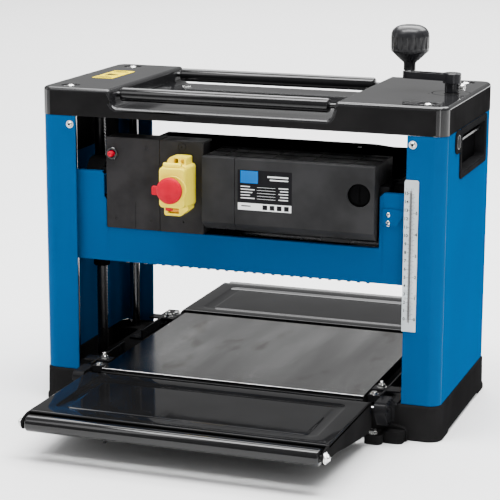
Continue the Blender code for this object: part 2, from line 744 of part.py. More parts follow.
def tables_and_rollers(black, dark):
    for end, label in ((-1, "infeed"), (1, "outfeed")):
        table, roller = extension_table(end, label), end_roller(end, label)
        dress(black, table, roller)
        pivot = (0, -end * TABLE_PIVOT[0], TABLE_PIVOT[1])
        fold = hang(f"{label}_table_fold", pivot, None, table)
        centre = (0, -end * TABLE_ROLLER[0], TABLE_ROLLER[1])
        hang(f"{label}_end_roller_spin", centre, fold, roller)
    for end, label in ENDS:
        roller = return_roller(end, label)
        dress(dark, roller)
        hang(f"{label}_return_spin", (0, end * RETURN_Y, RETURN_Z), None, roller)


def main():
    clear_scene()
    black = finish("gloss_black", (0.012, 0.012, 0.013), 0.25)
    blue = finish("blue_paint", (0.0, 0.13, 0.36), 0.35)
    steel = finish("bed_steel", (0.28, 0.28, 0.28), 0.35, 1.0)
    chrome = finish("chrome", (0.75, 0.75, 0.76), 0.12, 1.0)
    grey = finish("cast_aluminium", (0.42, 0.43, 0.44), 0.45, 1.0)
    dark = finish("dark_steel", (0.05, 0.05, 0.055), 0.35, 0.8)
    pale = finish("scale_plate", (0.62, 0.67, 0.7), 0.4)
    yellow = finish("switch_yellow", (0.87, 0.68, 0.19), 0.4)
    red = finish("switch_red", (0.66, 0.03, 0.07), 0.35)
    green = finish("switch_green", (0.02, 0.35, 0.1), 0.35)
    frame_pieces(black, blue, steel, chrome, pale)
    height_adjustment(black, dark, chrome)
    carriage(black, blue, dark, chrome, grey, yellow, red, green)
    tables_and_rollers(black, dark)


main()
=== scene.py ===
"""The looks of a thickness planer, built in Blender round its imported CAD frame.

Lengths are in millimetres and become metres when a mesh is made. +X is to the right seen from
the infeed side, +Y is the feed direction and +Z is up. Places come from the CAD nodes' boxes.
"""

import json
import math

import bmesh
import bpy
from mathutils import Euler, Matrix, Vector


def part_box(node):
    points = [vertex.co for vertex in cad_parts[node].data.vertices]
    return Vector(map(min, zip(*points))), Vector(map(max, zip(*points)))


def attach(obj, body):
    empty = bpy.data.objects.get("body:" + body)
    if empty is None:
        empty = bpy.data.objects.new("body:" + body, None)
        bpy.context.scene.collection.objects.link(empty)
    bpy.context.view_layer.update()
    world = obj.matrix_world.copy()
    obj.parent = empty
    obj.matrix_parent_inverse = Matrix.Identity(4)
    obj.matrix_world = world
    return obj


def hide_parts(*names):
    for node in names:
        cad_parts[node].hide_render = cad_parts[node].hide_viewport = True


MM = 0.001
WELD = 0.002 * MM
AXES = {"x": (1, 2, 0), "y": (0, 2, 1), "z": (0, 1, 2)}
DIRECTIONS = {"x": (1, 0, 0), "y": (0, 1, 0), "z": (0, 0, 1)}
FACINGS = {
    "+z": Euler((0, 0, 0)),
    "-z": Euler((math.pi, 0, 0)),
    "-y": Euler((math.pi / 2, 0, 0)),
    "+y": Euler((-math.pi / 2, 0, 0)),
    "+x": Euler((0, math.pi / 2, 0)),
    "-x": Euler((0, -math.pi / 2, 0)),
}
SIDES = ((-1, "left"), (1, "right"))
ENDS = ((-1, "front"), (1, "rear"))
LOOKS = {}

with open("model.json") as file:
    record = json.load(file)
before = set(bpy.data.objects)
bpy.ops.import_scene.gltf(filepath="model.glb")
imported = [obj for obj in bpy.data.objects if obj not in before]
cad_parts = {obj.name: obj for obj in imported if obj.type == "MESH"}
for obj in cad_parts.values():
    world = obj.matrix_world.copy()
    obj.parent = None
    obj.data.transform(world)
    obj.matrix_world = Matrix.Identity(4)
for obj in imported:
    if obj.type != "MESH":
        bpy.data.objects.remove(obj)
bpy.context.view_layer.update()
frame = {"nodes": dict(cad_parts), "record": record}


# ---------------------------------------------------------------- shapes


def box_mm(node):
    low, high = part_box(node)
    return low / MM, high / MM


def span(side, near, far):
    """Two distances out from the middle towards one side, the lower value first."""
    return sorted((side * near, side * far))


def spot(axis, u, v, w):
    """The point with plane coordinates u, v and distance w along the axis."""
    point = [0, 0, 0]
    for index, value in zip(AXES[axis], (u, v, w)):
        point[index] = value
    return Vector(point)


def from_bmesh(name, shape):
    bmesh.ops.recalc_face_normals(shape, faces=shape.faces)
    mesh = bpy.data.meshes.new(name)
    shape.to_mesh(mesh)
    shape.free()
    obj = bpy.data.objects.new(name, mesh)
    bpy.context.scene.collection.objects.link(obj)
    return obj


def prism(name, outline, axis, low, high):
    """The outline, points in the plane across the axis, extruded from low to high."""
    shape = bmesh.new()
    face = shape.faces.new([shape.verts.new(spot(axis, u, v, low) * MM) for u, v in outline])
    raised = bmesh.ops.extrude_face_region(shape, geom=[face])["geom"]
    moved = [item for item in raised if isinstance(item, bmesh.types.BMVert)]
    bmesh.ops.translate(shape, verts=moved, vec=spot(axis, 0, 0, high - low) * MM)
    return from_bmesh(name, shape)


def block(name, one, other):
    """A box between two opposite corners."""
    (x0, x1), (y0, y1), (z0, z1) = (sorted(pair) for pair in zip(one, other))
    return prism(name, ((x0, y0), (x1, y0), (x1, y1), (x0, y1)), "z", z0, z1)


def turned(name, profile, axis, centre, segments=32):
    """The profile, (place along the axis, radius) points, spun round the axis."""
    shape = bmesh.new()
    u, v = centre
    corners = [shape.verts.new(spot(axis, u + r, v, w) * MM) for w, r in profile]
    edges = [shape.edges.new(pair) for pair in zip(corners, corners[1:])]
    if profile[0][1] > 0:
        edges.append(shape.edges.new((corners[-1], corners[0])))
    middle = spot(axis, u, v, 0) * MM
    bmesh.ops.spin(
        shape, geom=corners + edges, cent=middle, axis=DIRECTIONS[axis],
        angle=math.tau, steps=segments, use_merge=True,
    )
    bmesh.ops.remove_doubles(shape, verts=shape.verts, dist=WELD)
    return from_bmesh(name, shape)


def rod(name, radius, axis, centre, low, high, segments=32):
    return turned(name, ((low, 0), (low, radius), (high, radius), (high, 0)), axis, centre, segments)


def tube(name, radii, axis, centre, low, high, segments=32):
    inner, outer = radii
    return turned(name, ((low, inner), (low, outer), (high, outer), (high, inner)), axis, centre, segments)


def bevelled(start, stop, radius, bevel=0.5):
    """The profile of a round bar with bevelled ends."""
    return (
        (start, 0), (start, radius - bevel), (start + bevel, radius),
        (stop - bevel, radius), (stop, radius - bevel), (stop, 0),
    )


def arc(centre, radius, start, end, steps):
    """Points on a circle from the start angle to the end angle, in degrees."""
    angles = [math.radians(start + (end - start) * i / steps) for i in range(steps + 1)]
    return [(centre[0] + radius * math.cos(a), centre[1] + radius * math.sin(a)) for a in angles]


def filleted(corners, radii, steps=6):
    """A closed outline whose corners are rounded, each by its own radius or all by one."""
    if not hasattr(radii, "__len__"):
        radii = [radii] * len(corners)
    points = []
    for index, radius in enumerate(radii):
        here = Vector(corners[index])
        if radius == 0:
            points.append(tuple(here))
            continue
        back = (Vector(corners[index - 1]) - here).normalized()
        ahead = (Vector(corners[(index + 1) % len(corners)]) - here).normalized()
        half = back.angle(ahead) / 2
        centre = here + (back + ahead).normalized() * (radius / math.sin(half))
        reach = radius / math.tan(half)
        first = here + back * reach - centre
        last = here + ahead * reach - centre
        swing = first.angle_signed(last)
        for step in range(steps + 1):
            points.append(tuple(centre + Matrix.Rotation(-swing * step / steps, 2) @ first))
    return points


def rounded(u0, v0, u1, v1, radius, steps=6):
    """A rectangle's outline with round corners."""
    return filleted(((u0, v0), (u1, v0), (u1, v1), (u0, v1)), radius, steps)


def loop(one, other, steps=16):
    """The outline of a belt round two circles, each (u, v, radius)."""
    across = Vector(other[:2]) - Vector(one[:2])
    heading = math.degrees(math.atan2(across.y, across.x))
    lean = math.degrees(math.acos((one[2] - other[2]) / across.length))
    back = arc(one[:2], one[2], heading + lean, heading + 360 - lean, steps)
    return back + arc(other[:2], other[2], heading - lean, heading + lean, steps)


def loft(name, rings, capped=(True, True)):
    """A skin over rings of (x, y, z) points, all with the same count."""
    shape = bmesh.new()
    rows = [[shape.verts.new(Vector(point) * MM) for point in ring] for ring in rings]
    for one, other in zip(rows, rows[1:]):
        for index, start in enumerate(one):
            after = (index + 1) % len(one)
            shape.faces.new((start, one[after], other[after], other[index]))
    for row, wanted in ((rows[0], capped[0]), (rows[-1], capped[1])):
        if wanted:
            shape.faces.new(row)
    return from_bmesh(name, shape)


def combine(target, tool, operation):
    """Applies one exact Boolean and removes the tool."""
    change = target.modifiers.new(operation, "BOOLEAN")
    change.operation = operation
    change.solver = "EXACT"
    change.object = tool
    graph = bpy.context.evaluated_depsgraph_get()
    mesh = bpy.data.meshes.new_from_object(target.evaluated_get(graph))
    target.modifiers.clear()
    shape = bmesh.new()
    shape.from_mesh(mesh)
    bmesh.ops.remove_doubles(shape, verts=shape.verts, dist=WELD)
    bmesh.ops.dissolve_degenerate(shape, edges=shape.edges, dist=WELD)
    shape.to_mesh(mesh)
    shape.free()
    target.data = mesh
    bpy.data.objects.remove(tool)
    return target


def join(target, *tools):
    for tool in tools:
        combine(target, tool, "UNION")
    return target


def cut(target, *tools):
    for tool in tools:
        combine(target, tool, "DIFFERENCE")
    return target


def gather(name, parts):
    """Several solids kept as one piece."""
    shape = bmesh.new()
    for part in parts:
        shape.from_mesh(part.data)
        bpy.data.objects.remove(part)
    return from_bmesh(name, shape)


def round_edges(obj, chosen, radius, steps=4):
    """Rounds the edges picked by chosen(middle in mm, one normal, other normal)."""
    shape = bmesh.new()
    shape.from_mesh(obj.data)
    shape.normal_update()
    edges = []
    for edge in shape.edges:
        if len(edge.link_faces) == 2:
            middle = (edge.verts[0].co + edge.verts[1].co) / (2 * MM)
            one, other = (face.normal for face in edge.link_faces)
            if one.dot(other) < 0.9 and chosen(middle, one, other):
                edges.append(edge)
    bmesh.ops.bevel(
        shape, geom=edges, offset=radius * MM, offset_type="OFFSET",
        segments=steps, profile=0.5, affect="EDGES",
    )
    shape.to_mesh(obj.data)
    shape.free()
    return obj


def soften(obj, width, steps=2, crease=40):
    """Small round edges that catch the light, as modifiers."""
    bevel = obj.modifiers.new("edges", "BEVEL")
    bevel.width = width * MM
    bevel.segments = steps
    bevel.limit_method = "ANGLE"
    bevel.angle_limit = math.radians(crease)
    bevel.miter_outer = "MITER_ARC"
    weighted = obj.modifiers.new("normals", "WEIGHTED_NORMAL")
    weighted.keep_sharp = True


def place(obj, look, body, *nodes, edge=0.0, steps=2, crease=None):
    """Dresses a piece and makes it ride on its body, in place of the CAD nodes."""
    crease = crease or (40 if edge else 30)
    material, slot = LOOKS[look]
    obj.data.materials.clear()
    obj.data.materials.append(material)
    obj.data.shade_smooth()
    if edge:
        soften(obj, edge, steps, crease)
    else:
        obj.data.set_sharp_from_angle(angle=math.radians(crease))
    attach(obj, body)
    if nodes:
        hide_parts(*nodes)
    return obj


def group(name, parts, look, body, *nodes, **shading):
    """Several solids dressed as one piece."""
    return place(gather(name, parts), look, body, *nodes, **shading)


def matte_walls(obj, look):
    """Gives the flat upright walls a finish of their own, apart from the tops and round corners."""
    obj.data.materials.append(LOOKS[look][0])
    for face in obj.data.polygons:
        if max(abs(face.normal.x), abs(face.normal.y)) > 0.997:
            face.material_index = 1


def aim(obj, where, facing):
    """Moves a shape made at the origin, facing +Z, to its place and direction."""
    turn = FACINGS[facing].to_matrix().to_4x4()
    obj.data.transform(Matrix.Translation(Vector(where) * MM) @ turn)
    return obj


# ---------------------------------------------------------------- fasteners


def cross_screw(where, facing, radius, washer=True):
    """A pan-head screw with a cross recess, with or without a washer."""
    height, rim = radius * 0.62, 0.6
    dome = []
    for angle in map(math.radians, range(0, 90, 15)):
        dome.append((height * math.sin(angle) + rim, radius * math.cos(angle)))
    head = turned("screw", [(-0.5, 0), (-0.5, radius), *dome, (height + rim, 0)], "z", (0, 0), 20)
    reach, half = radius * 0.55, radius * 0.12
    for angle in (20, 110):
        slot = block("slot", (-reach, -half, height * 0.45), (reach, half, 9))
        slot.data.transform(Matrix.Rotation(math.radians(angle), 4, "Z"))
        cut(head, slot)
    parts = [head]
    if washer:
        parts.append(tube("washer", (radius * 0.7, radius * 1.42), "z", (0, 0), -0.4, 0.5, 28))
    return [aim(part, where, facing) for part in parts]


def hex_bolt(where, facing, across, height, stud=0.0):
    """A hexagon head or nut on a washer, with the end of a stud showing if it is a nut."""
    radius = across / math.sqrt(3)
    head = rod("hex", radius, "z", (0, 0), 0.4, height, 6)
    top = height + 0.4
    crown = ((-1, 0), (-1, radius), (height - 0.5, radius), (top, radius * 0.8), (top, 0))
    combine(head, turned("crown", crown, "z", (0, 0), 24), "INTERSECT")
    parts = [head, tube("washer", (radius * 0.55, radius * 1.28), "z", (0, 0), -0.3, 0.7, 28)]
    if stud:
        top, thick = height + stud, radius * 0.5
        tip = ((0, 0), (0, thick), (top - 0.5, thick), (top, radius * 0.4), (top, 0))
        parts.append(turned("stud", tip, "z", (0, 0), 16))
    return [aim(part, where, facing) for part in parts]


# ---------------------------------------------------------------- materials


def principled(name, colour, roughness, metallic=0.0, specular=0.5):
    material = bpy.data.materials.new(name)
    material.use_nodes = True
    shader = material.node_tree.nodes["Principled BSDF"]
    shader.inputs["Base Color"].default_value = (*colour, 1)
    shader.inputs["Roughness"].default_value = roughness
    shader.inputs["Metallic"].default_value = metallic
    shader.inputs["Specular IOR Level"].default_value = specular
    return material, material.node_tree, shader


def noise(tree, scale, stretch=(1, 1, 1), turn=(0, 0, 0), detail=3.0, seed=0.0):
    """Noise over the piece's own coordinates, in metres; scale is features per metre."""
    where = tree.nodes.new("ShaderNodeTexCoord")
    mapping = tree.nodes.new("ShaderNodeMapping")
    mapping.inputs["Location"].default_value = (seed, seed * 0.7, -seed)
    mapping.inputs["Rotation"].default_value = [math.radians(a) for a in turn]
    mapping.inputs["Scale"].default_value = stretch
    texture = tree.nodes.new("ShaderNodeTexNoise")
    texture.inputs["Scale"].default_value = scale
    texture.inputs["Detail"].default_value = detail
    tree.links.new(where.outputs["Object"], mapping.inputs["Vector"])
    tree.links.new(mapping.outputs["Vector"], texture.inputs["Vector"])
    return texture.outputs["Fac"]


def ramp(tree, source, stops):
    """A colour or grey ramp over a 0..1 source."""
    node = tree.nodes.new("ShaderNodeValToRGB")
    elements = node.color_ramp.elements
    while len(elements) < len(stops):
        elements.new(0.5)
    for element, (at, value) in zip(elements, stops):
        element.position = at
        element.color = (*value, 1) if hasattr(value, "__len__") else (value, value, value, 1)
    tree.links.new(source, node.inputs["Fac"])
    return node.outputs["Color"]


def vary_colour(tree, shader, source, dark, light, low=0.35, high=0.65):
    tree.links.new(ramp(tree, source, ((low, dark), (high, light))), shader.inputs["Base Color"])


def vary_roughness(tree, shader, source, low, high):
    tree.links.new(ramp(tree, source, ((0.35, low), (0.68, high))), shader.inputs["Roughness"])


def bump(tree, shader, source, strength, depth):
    """Adds fine relief, depth in millimetres, over whatever relief is already there."""
    node = tree.nodes.new("ShaderNodeBump")
    node.inputs["Strength"].default_value = strength
    node.inputs["Distance"].default_value = depth * MM
    tree.links.new(source, node.inputs["Height"])
    for link in list(shader.inputs["Normal"].links):
        tree.links.new(link.from_socket, node.inputs["Normal"])
    tree.links.new(node.outputs["Normal"], shader.inputs["Normal"])


def scaled(colour, factor):
    return tuple(min(1.0, part * factor) for part in colour)


def finish(name, slot, colour, roughness, metallic, specular, *grain, blotch=22, spread=0.16, rough_by=0.25):
    """A look: blotches of colour and roughness, and layers of grain (scale, strength, depth, stretch)."""
    material, tree, shader = principled(name, colour, roughness, metallic, specular)
    vary_colour(tree, shader, noise(tree, blotch), scaled(colour, 1 - spread), scaled(colour, 1 + spread))
    smudges = noise(tree, blotch * 1.7, detail=5.0, seed=3.1)
    vary_roughness(tree, shader, smudges, roughness * (1 - rough_by), roughness * (1 + rough_by))
    for layer, (scale, strength, depth, *stretch) in enumerate(grain):
        bump(tree, shader, noise(tree, scale, *stretch, seed=layer * 1.3), strength, depth)
    LOOKS[name] = (material, slot)


def make_looks():
    """Every look with its slot, colour, roughness, metallic and specular levels, and its grain."""
    for row in (
        ("gloss_black", "gloss_black", (0.0105, 0.0105, 0.0112), 0.1, 0, 0.45, (420, 0.02, 0.04)),
        ("satin_black", "gloss_black", (0.0105, 0.0103, 0.0105), 0.16, 0, 0, (420, 0.02, 0.04)),
        ("roller_black", "gloss_black", (0.005, 0.005, 0.0054), 0.09, 0, 0.35, (300, 0.02, 0.03)),
        ("grip_black", "gloss_black", (0.011, 0.011, 0.0116), 0.3, 0, 0, (500, 0.1, 0.12)),
        ("crank_black", "gloss_black", (0.010, 0.010, 0.012), 0.22, 0, 0.2, (700, 0.14, 0.12)),
        ("knob_black", "gloss_black", (0.011, 0.011, 0.0125), 0.24, 0, 0.3, (1300, 0.12, 0.08)),
        # deep_black also serves as painted shade: the discs in the cover's screw dishes and the sheets in the grip
        # recesses.
        ("deep_black", "gloss_black", (0.004, 0.004, 0.0043), 0.5, 0, 0, (1500, 0.2, 0.1)),
        ("black_metal", "black_metal", (0.009, 0.009, 0.0098), 0.24, 0, 0.05, (500, 0.1, 0.12)),
        ("ink", "gloss_black", (0.006, 0.006, 0.007), 0.45, 0, 0.06, (2200, 0.1, 0.03)),
        # Chrome darkened to about a third: painted shade on the guide posts, which stand dim and shadowed within
        # the columns.
        ("post_chrome_painted_shade", "chrome", (0.2, 0.2, 0.205), 0.12, 1, 0.5, (900, 0.05, 0.05, (1, 1, 6))),
        ("chrome", "chrome", (0.62, 0.62, 0.63), 0.11, 1, 0.5, (900, 0.05, 0.05, (1, 1, 6))),
        ("knife_steel", "chrome", (0.62, 0.62, 0.63), 0.14, 1, 0.5, (260, 0.08, 0.06, (1, 9, 9))),
        ("cast_aluminium", "cast_aluminium", (0.36, 0.365, 0.37), 0.46, 1, 0.5, (420, 0.35, 0.3)),
        ("turned_aluminium", "cast_aluminium", (0.5, 0.5, 0.51), 0.27, 1, 0.5, (500, 0.12, 0.1, (14, 1, 1))),
        ("dark_steel", "dark_steel", (0.045, 0.044, 0.045), 0.32, 0.8, 0.5, (480, 0.2, 0.15)),
        ("drive_rubber", "drive_rubber", (0.019, 0.019, 0.019), 0.62, 0, 0.5, (1200, 0.35, 0.2)),
        ("scale_plate", "scale_plate", (0.5, 0.55, 0.57), 0.34, 0.25, 0.5, (1500, 0.06, 0.05)),
        ("print_grey", "scale_plate", (0.2, 0.2, 0.2), 0.45, 0, 0.5, (2200, 0.1, 0.03)),
    ):
        finish(*row)

    finish("zinc", "chrome", (0.72, 0.72, 0.71), 0.24, 1, 0.5, (700, 0.1, 0.08), blotch=160)
    finish(
        "table_black", "black_metal", (0.006, 0.006, 0.0064), 0.06, 0, 0.14,
        (26, 0.05, 0.2), (600, 0.02, 0.04), rough_by=0.4,
    )
    finish(
        "moulded_black", "gloss_black", (0.024, 0.024, 0.0248), 0.42, 0, 0.03,
        (1900, 0.3, 0.12), (60, 0.12, 0.3, (1, 1, 0.25)), spread=0.25,
    )
    finish(
        "panel_black", "gloss_black", (0.0182, 0.0174, 0.0182), 0.45, 0, 0.06,
        (1700, 0.28, 0.1), (170, 0.22, 0.2, (1, 1, 0.04)), blotch=30, spread=0.3,
    )
    for name, specular in (("blue_paint", 0), ("blue_gloss", 0.012)):
        finish(name, "blue_paint", (0, 0.06, 0.182), 0.3, 0, specular, (620, 0.02, 0.05), blotch=7, spread=0.04)
    print_grain = (2200, 0.08, 0.03)
    finish("print_white", "scale_plate", (0.82, 0.83, 0.83), 0.4, 0, 0.5, print_grain, spread=0.03)
    finish("print_blue", "blue_paint", (0, 0.12, 0.42), 0.4, 0, 0.06, print_grain, spread=0.05)
    finish("print_yellow", "switch_yellow", (0.62, 0.47, 0), 0.4, 0, 0, print_grain, spread=0.05)
    for name, colour in (("switch_yellow", (1, 0.78, 0.03)), ("switch_amber", (0.75, 0.34, 0.02))):
        finish(name, "switch_yellow", colour, 0.38, 0, 0.14, (1600, 0.14, 0.08), blotch=50, spread=0.03)
    button_grain = (1500, 0.2, 0.1)
    finish("switch_red", "switch_red", (0.48, 0, 0.02), 0.36, 0, 0.06, button_grain, blotch=60, spread=0.08)
    finish("switch_green", "switch_green", (0.02, 0.33, 0.1), 0.36, 0, 0.5, button_grain, blotch=60)
    bed_look()


def bed_look():
    """Ground steel with long faint marks running askew, as boards and grinding leave them."""
    material, tree, shader = principled("bed_steel", (0.2, 0.2, 0.198), 0.4, 1.0)
    askew = (0, 0, 38)
    long_marks = noise(tree, 16, (1, 0.16, 1), askew, detail=7.0)
    fine_marks = noise(tree, 240, (1, 0.02, 1), askew, seed=1.9)
    stains = noise(tree, 24, (1, 0.5, 1), (0, 0, 60), detail=6.0, seed=7.7)
    mixed = tree.nodes.new("ShaderNodeMix")
    mixed.data_type = "RGBA"
    mixed.blend_type = "MULTIPLY"
    mixed.inputs["Factor"].default_value = 1.0
    grey = ramp(tree, long_marks, ((0.3, 0.25), (0.7, 0.4)))
    stain = ramp(tree, stains, ((0.27, (0.72, 0.69, 0.66)), (0.4, (1.0, 1.0, 1.0))))
    tree.links.new(grey, mixed.inputs["A"])
    tree.links.new(stain, mixed.inputs["B"])
    tree.links.new(mixed.outputs["Result"], shader.inputs["Base Color"])
    vary_roughness(tree, shader, long_marks, 0.12, 0.2)
    bump(tree, shader, fine_marks, 0.16, 0.06)
    bump(tree, shader, noise(tree, 900, (1, 0.3, 1), askew, seed=5.0), 0.1, 0.04)
    LOOKS["bed_steel"] = (material, "bed_steel")


# ---------------------------------------------------------------- top cover and columns


SADDLE_TOP = 378
SADDLE = (-161, 116.5)
SHOULDER = (-164, 122.5)
POSTS = [(side * 226, end * 98) for side in (-1, 1) for end in (-1, 1)]
CRANK_X = 231


def cover_profile(low, high, inset, fillets):
    slips = []
    for foot, head in zip(SADDLE, SHOULDER):
        lean = abs(head - foot) / (high.z - SADDLE_TOP)
        slips.append(inset * (math.hypot(1, lean) - lean))
    left, right = slips
    corners = (
        (low.x + inset, low.z - inset),
        (high.x - inset, low.z - inset),
        (high.x - inset, high.z - inset),
        (SHOULDER[1] + right, high.z - inset),
        (SADDLE[1] + right, SADDLE_TOP - inset),
        (SADDLE[0] - left, SADDLE_TOP - inset),
        (SHOULDER[0] - left, high.z - inset),
        (low.x + inset, high.z - inset),
    )
    convex, concave = fillets
    return filleted(corners, (0, 0, 0, convex, concave, concave, convex, 0), 8)


def top_cover():
    low, high = box_mm("top_cover")
    cover = prism("cover_moulding", cover_profile(low, high, 0, (5, 8)), "y", low.y, high.y)
    plan = rounded(low.x, low.y, high.x, high.y, 15, 12)
    combine(cover, prism("plan", plan, "z", low.z - 1, high.z + 1), "INTERSECT")

    def top_rim(_, one, other):
        return max(one.z, other.z) > 0.2 and abs(min(one.z, other.z, key=abs)) < 0.05

    round_edges(cover, top_rim, 4.2, 5)
    wall = 3
    inner = prism("inside", cover_profile(low, high, wall, (4, 9)), "y", low.y + wall, high.y - wall)
    plan = rounded(low.x + wall, low.y + wall, high.x - wall, high.y - wall, 12, 8)
    combine(inner, prism("plan", plan, "z", low.z - 9, high.z), "INTERSECT")
    cut(cover, inner)
    steps = ((-2.6, 0), (-2.6, 10.2), (-1.8, 11), (0.3, 12), (1, 12), (1, 0))
    dish = [(high.z + rise, radius) for rise, radius in steps]
    for post in POSTS:
        cut(cover, turned("dish", dish, "z", post, 40))
    cut(cover, rod("crank_hole", 8, "z", (CRANK_X, 0), high.z - 10, high.z + 5))
    cut(cover, tube("ring", (22.6, 23.8), "z", (CRANK_X, -2), high.z - 0.7, high.z + 2, 64))
    cut(cover, rod("pin_hole", 1.3, "z", (206, -13), high.z - 2, high.z + 2, 16))
    place(cover, "gloss_black", "frame", "top_cover", edge=0.5, crease=50)
    matte_walls(cover, "satin_black")

    fasteners = []
    for post in POSTS:
        fasteners += cross_screw((*post, high.z - 2.4), "+z", 4.8, washer=False)
    group("cover_screws", fasteners, "zinc", "frame")
    # Dark discs at the bottom of the screw dishes: painted shade in the hollows round the cover screws.
    dish_shades = [tube("dish_painted_shade", (4.9, 10.6), "z", post, high.z - 2.7, high.z - 2.3, 40) for post in POSTS]
    group("cover_dish_painted_shades", dish_shades, "deep_black", "frame")
    bush = tube("crank_bush", (6.5, 9.4), "z", (CRANK_X, 0), high.z - 0.5, high.z + 0.55, 40)
    place(bush, "dark_steel", "frame")

    patch = prism("notice_patch", rounded(-230, -27, -201.5, 49, 2, 4), "z", high.z - 0.3, high.z + 0.22)
    place(patch, "print_yellow", "frame")
    bars, top = [], high.z + 0.34
    for y, end in ((-20, -205.5), (-12, -211.5), (35, -205.5), (42, -210.5)):
        bars.append(block("bar", (-226, y - 1.5, high.z), (end, y + 1.5, top)))
    triangle = filleted(((-224, -2), (-207, 8), (-224, 18)), 1.2, 3)
    bars.append(prism("sign", triangle, "z", high.z, top))
    group("notice_print", bars, "ink", "frame")
    low_z, high_z = SADDLE_TOP - 0.4, SADDLE_TOP + 0.9
    clips = [block("clip", (x, 84, low_z), (x + 12, 87, high_z)) for x in (-150, 96)]
    group("roller_clips", clips, "zinc", "frame", edge=0.3)


def return_rollers():
    for label in ("front", "rear"):
        low, high = box_mm(f"return_roller_{label}")
        radius = (high.z - low.z) / 2
        centre = ((low.y + high.y) / 2, (low.z + high.z) / 2)
        left, right = low.x + 12, high.x - 21.5
        profile = [(low.x, 0), (low.x, 3), (left - 0.6, 3), (left - 0.6, 4.6), (left, 4.6), (left, radius - 3)]
        profile += arc((left + 3, radius - 3), 3, 180, 90, 6)
        profile += arc((right - 3, radius - 3), 3, 90, 0, 6)
        profile += [(right, 4.6), (right + 0.6, 4.6), (right + 0.6, 3), (high.x, 3), (high.x, 0)]
        roller = turned(f"return_roller_{label}_tube", profile, "x", centre, 64)
        place(roller, "roller_black", f"{label}_return", f"return_roller_{label}")


def column(side, label):
    """A column folded from sheet, with its fold radii, hems and fixing screws."""
    low, high = box_mm(f"side_panel_{label}")
    outer, inner = (high.x, low.x) if side > 0 else (-low.x, -high.x)
    front, back, thick, radius = low.y, high.y, 2.0, 15.0
    bend = radius - thick
    front_fold, back_fold = (outer - radius, front + radius), (outer - radius, back - radius)
    outline = [(inner, front)]
    outline += arc(front_fold, radius, -90, 0, 14) + arc(back_fold, radius, 0, 90, 14)
    outline += [(inner, back), (inner, back - thick)]
    outline += arc(back_fold, bend, 90, 0, 14) + arc(front_fold, bend, 0, -90, 14)
    outline += [(inner, front + thick)]
    sheet = prism(f"column_sheet_{label}", [(side * x, y) for x, y in outline], "z", low.z, high.z)
    cut(sheet, prism("grip", rounded(-50.8, 308.2, 84.8, 361.8, 4), "x", *span(side, 240, 270)))
    fixing = (side * 216, 355)
    for end, _ in ENDS:
        cut(sheet, rod("fixing", 2.6, "y", fixing, end * 124 - 4, end * 124 + 4, 16))
    place(sheet, "blue_gloss", "frame", f"side_panel_{label}", edge=0.45)
    matte_walls(sheet, "blue_paint")
    screws = []
    for end, facing in ((-1, "-y"), (1, "+y")):
        screws += cross_screw((side * 216, end * 124, 355), facing, 3.4)
    group(f"column_screws_{label}", screws, "zinc", "frame")
    # Small dark discs on the column screw heads, in the ink colour: painted shade in the screws' cross recesses.
    painted_shade_discs = [rod("socket", 1.5, "y", fixing, *span(end, 125, 126.9), 16) for end, _ in ENDS]
    group(f"column_screw_painted_shade_discs_{label}", painted_shade_discs, "ink", "frame")


def carry_handle(side, label):
    """A moulded grip recess with a thick raised rim, a finger bar and a ribbed round on its ear."""
    low, high = box_mm(f"carry_handle_{label}")
    outer = high.x if side > 0 else -low.x
    face = outer - 1.8

    def slab(name, outline, near, far):
        return prism(name, outline, "x", *span(side, near, far))

    handle = slab("grip_moulding_" + label, rounded(-54, 305, 88, 365, 5, 6), face, outer)
    join(handle, slab("ear", rounded(-79.5, 338, -50, 365, 9, 8), face, outer - 0.2))
    join(handle, slab("cup", rounded(-50, 309, 84, 361, 3, 4), 241.5, face + 0.5))
    cut(handle, slab("recess", rounded(-46, 313, 80, 357, 4, 6), 243.5, outer + 4))
    cut(handle, slab("step", rounded(-48.6, 310.4, 82.6, 359.6, 5, 6), outer - 0.7, outer + 4))
    place(handle, "grip_black", "frame", f"carry_handle_{label}", edge=0.5, crease=35)
    bar = slab(f"grip_bar_{label}", rounded(-45, 346, 79, 349, 1, 3), 243.2, 250)
    place(bar, "black_metal", "frame", edge=0.3)
    # A thin sheet of the darkest black over the floor of the grip recess: painted shade inside the hollow.
    painted_recess_shade = slab(f"grip_painted_recess_shade_{label}", rounded(-45.8, 313.2, 79.8, 356.8, 4, 6), 243.3, 243.7)
    place(painted_recess_shade, "deep_black", "frame")
    thumb = [tube("thumb", (7.4, 8.8), "x", (-66, 351.5), *span(side, outer - 1, outer), 36)]
    for y in (-70, -66, -62):
        thumb.append(slab("thumb_rib", rounded(y - 0.5, 345.4, y + 0.5, 357.6, 0.3, 2), outer - 1, outer))
    group(f"grip_thumb_{label}", thumb, "black_metal", "frame", edge=0.2)


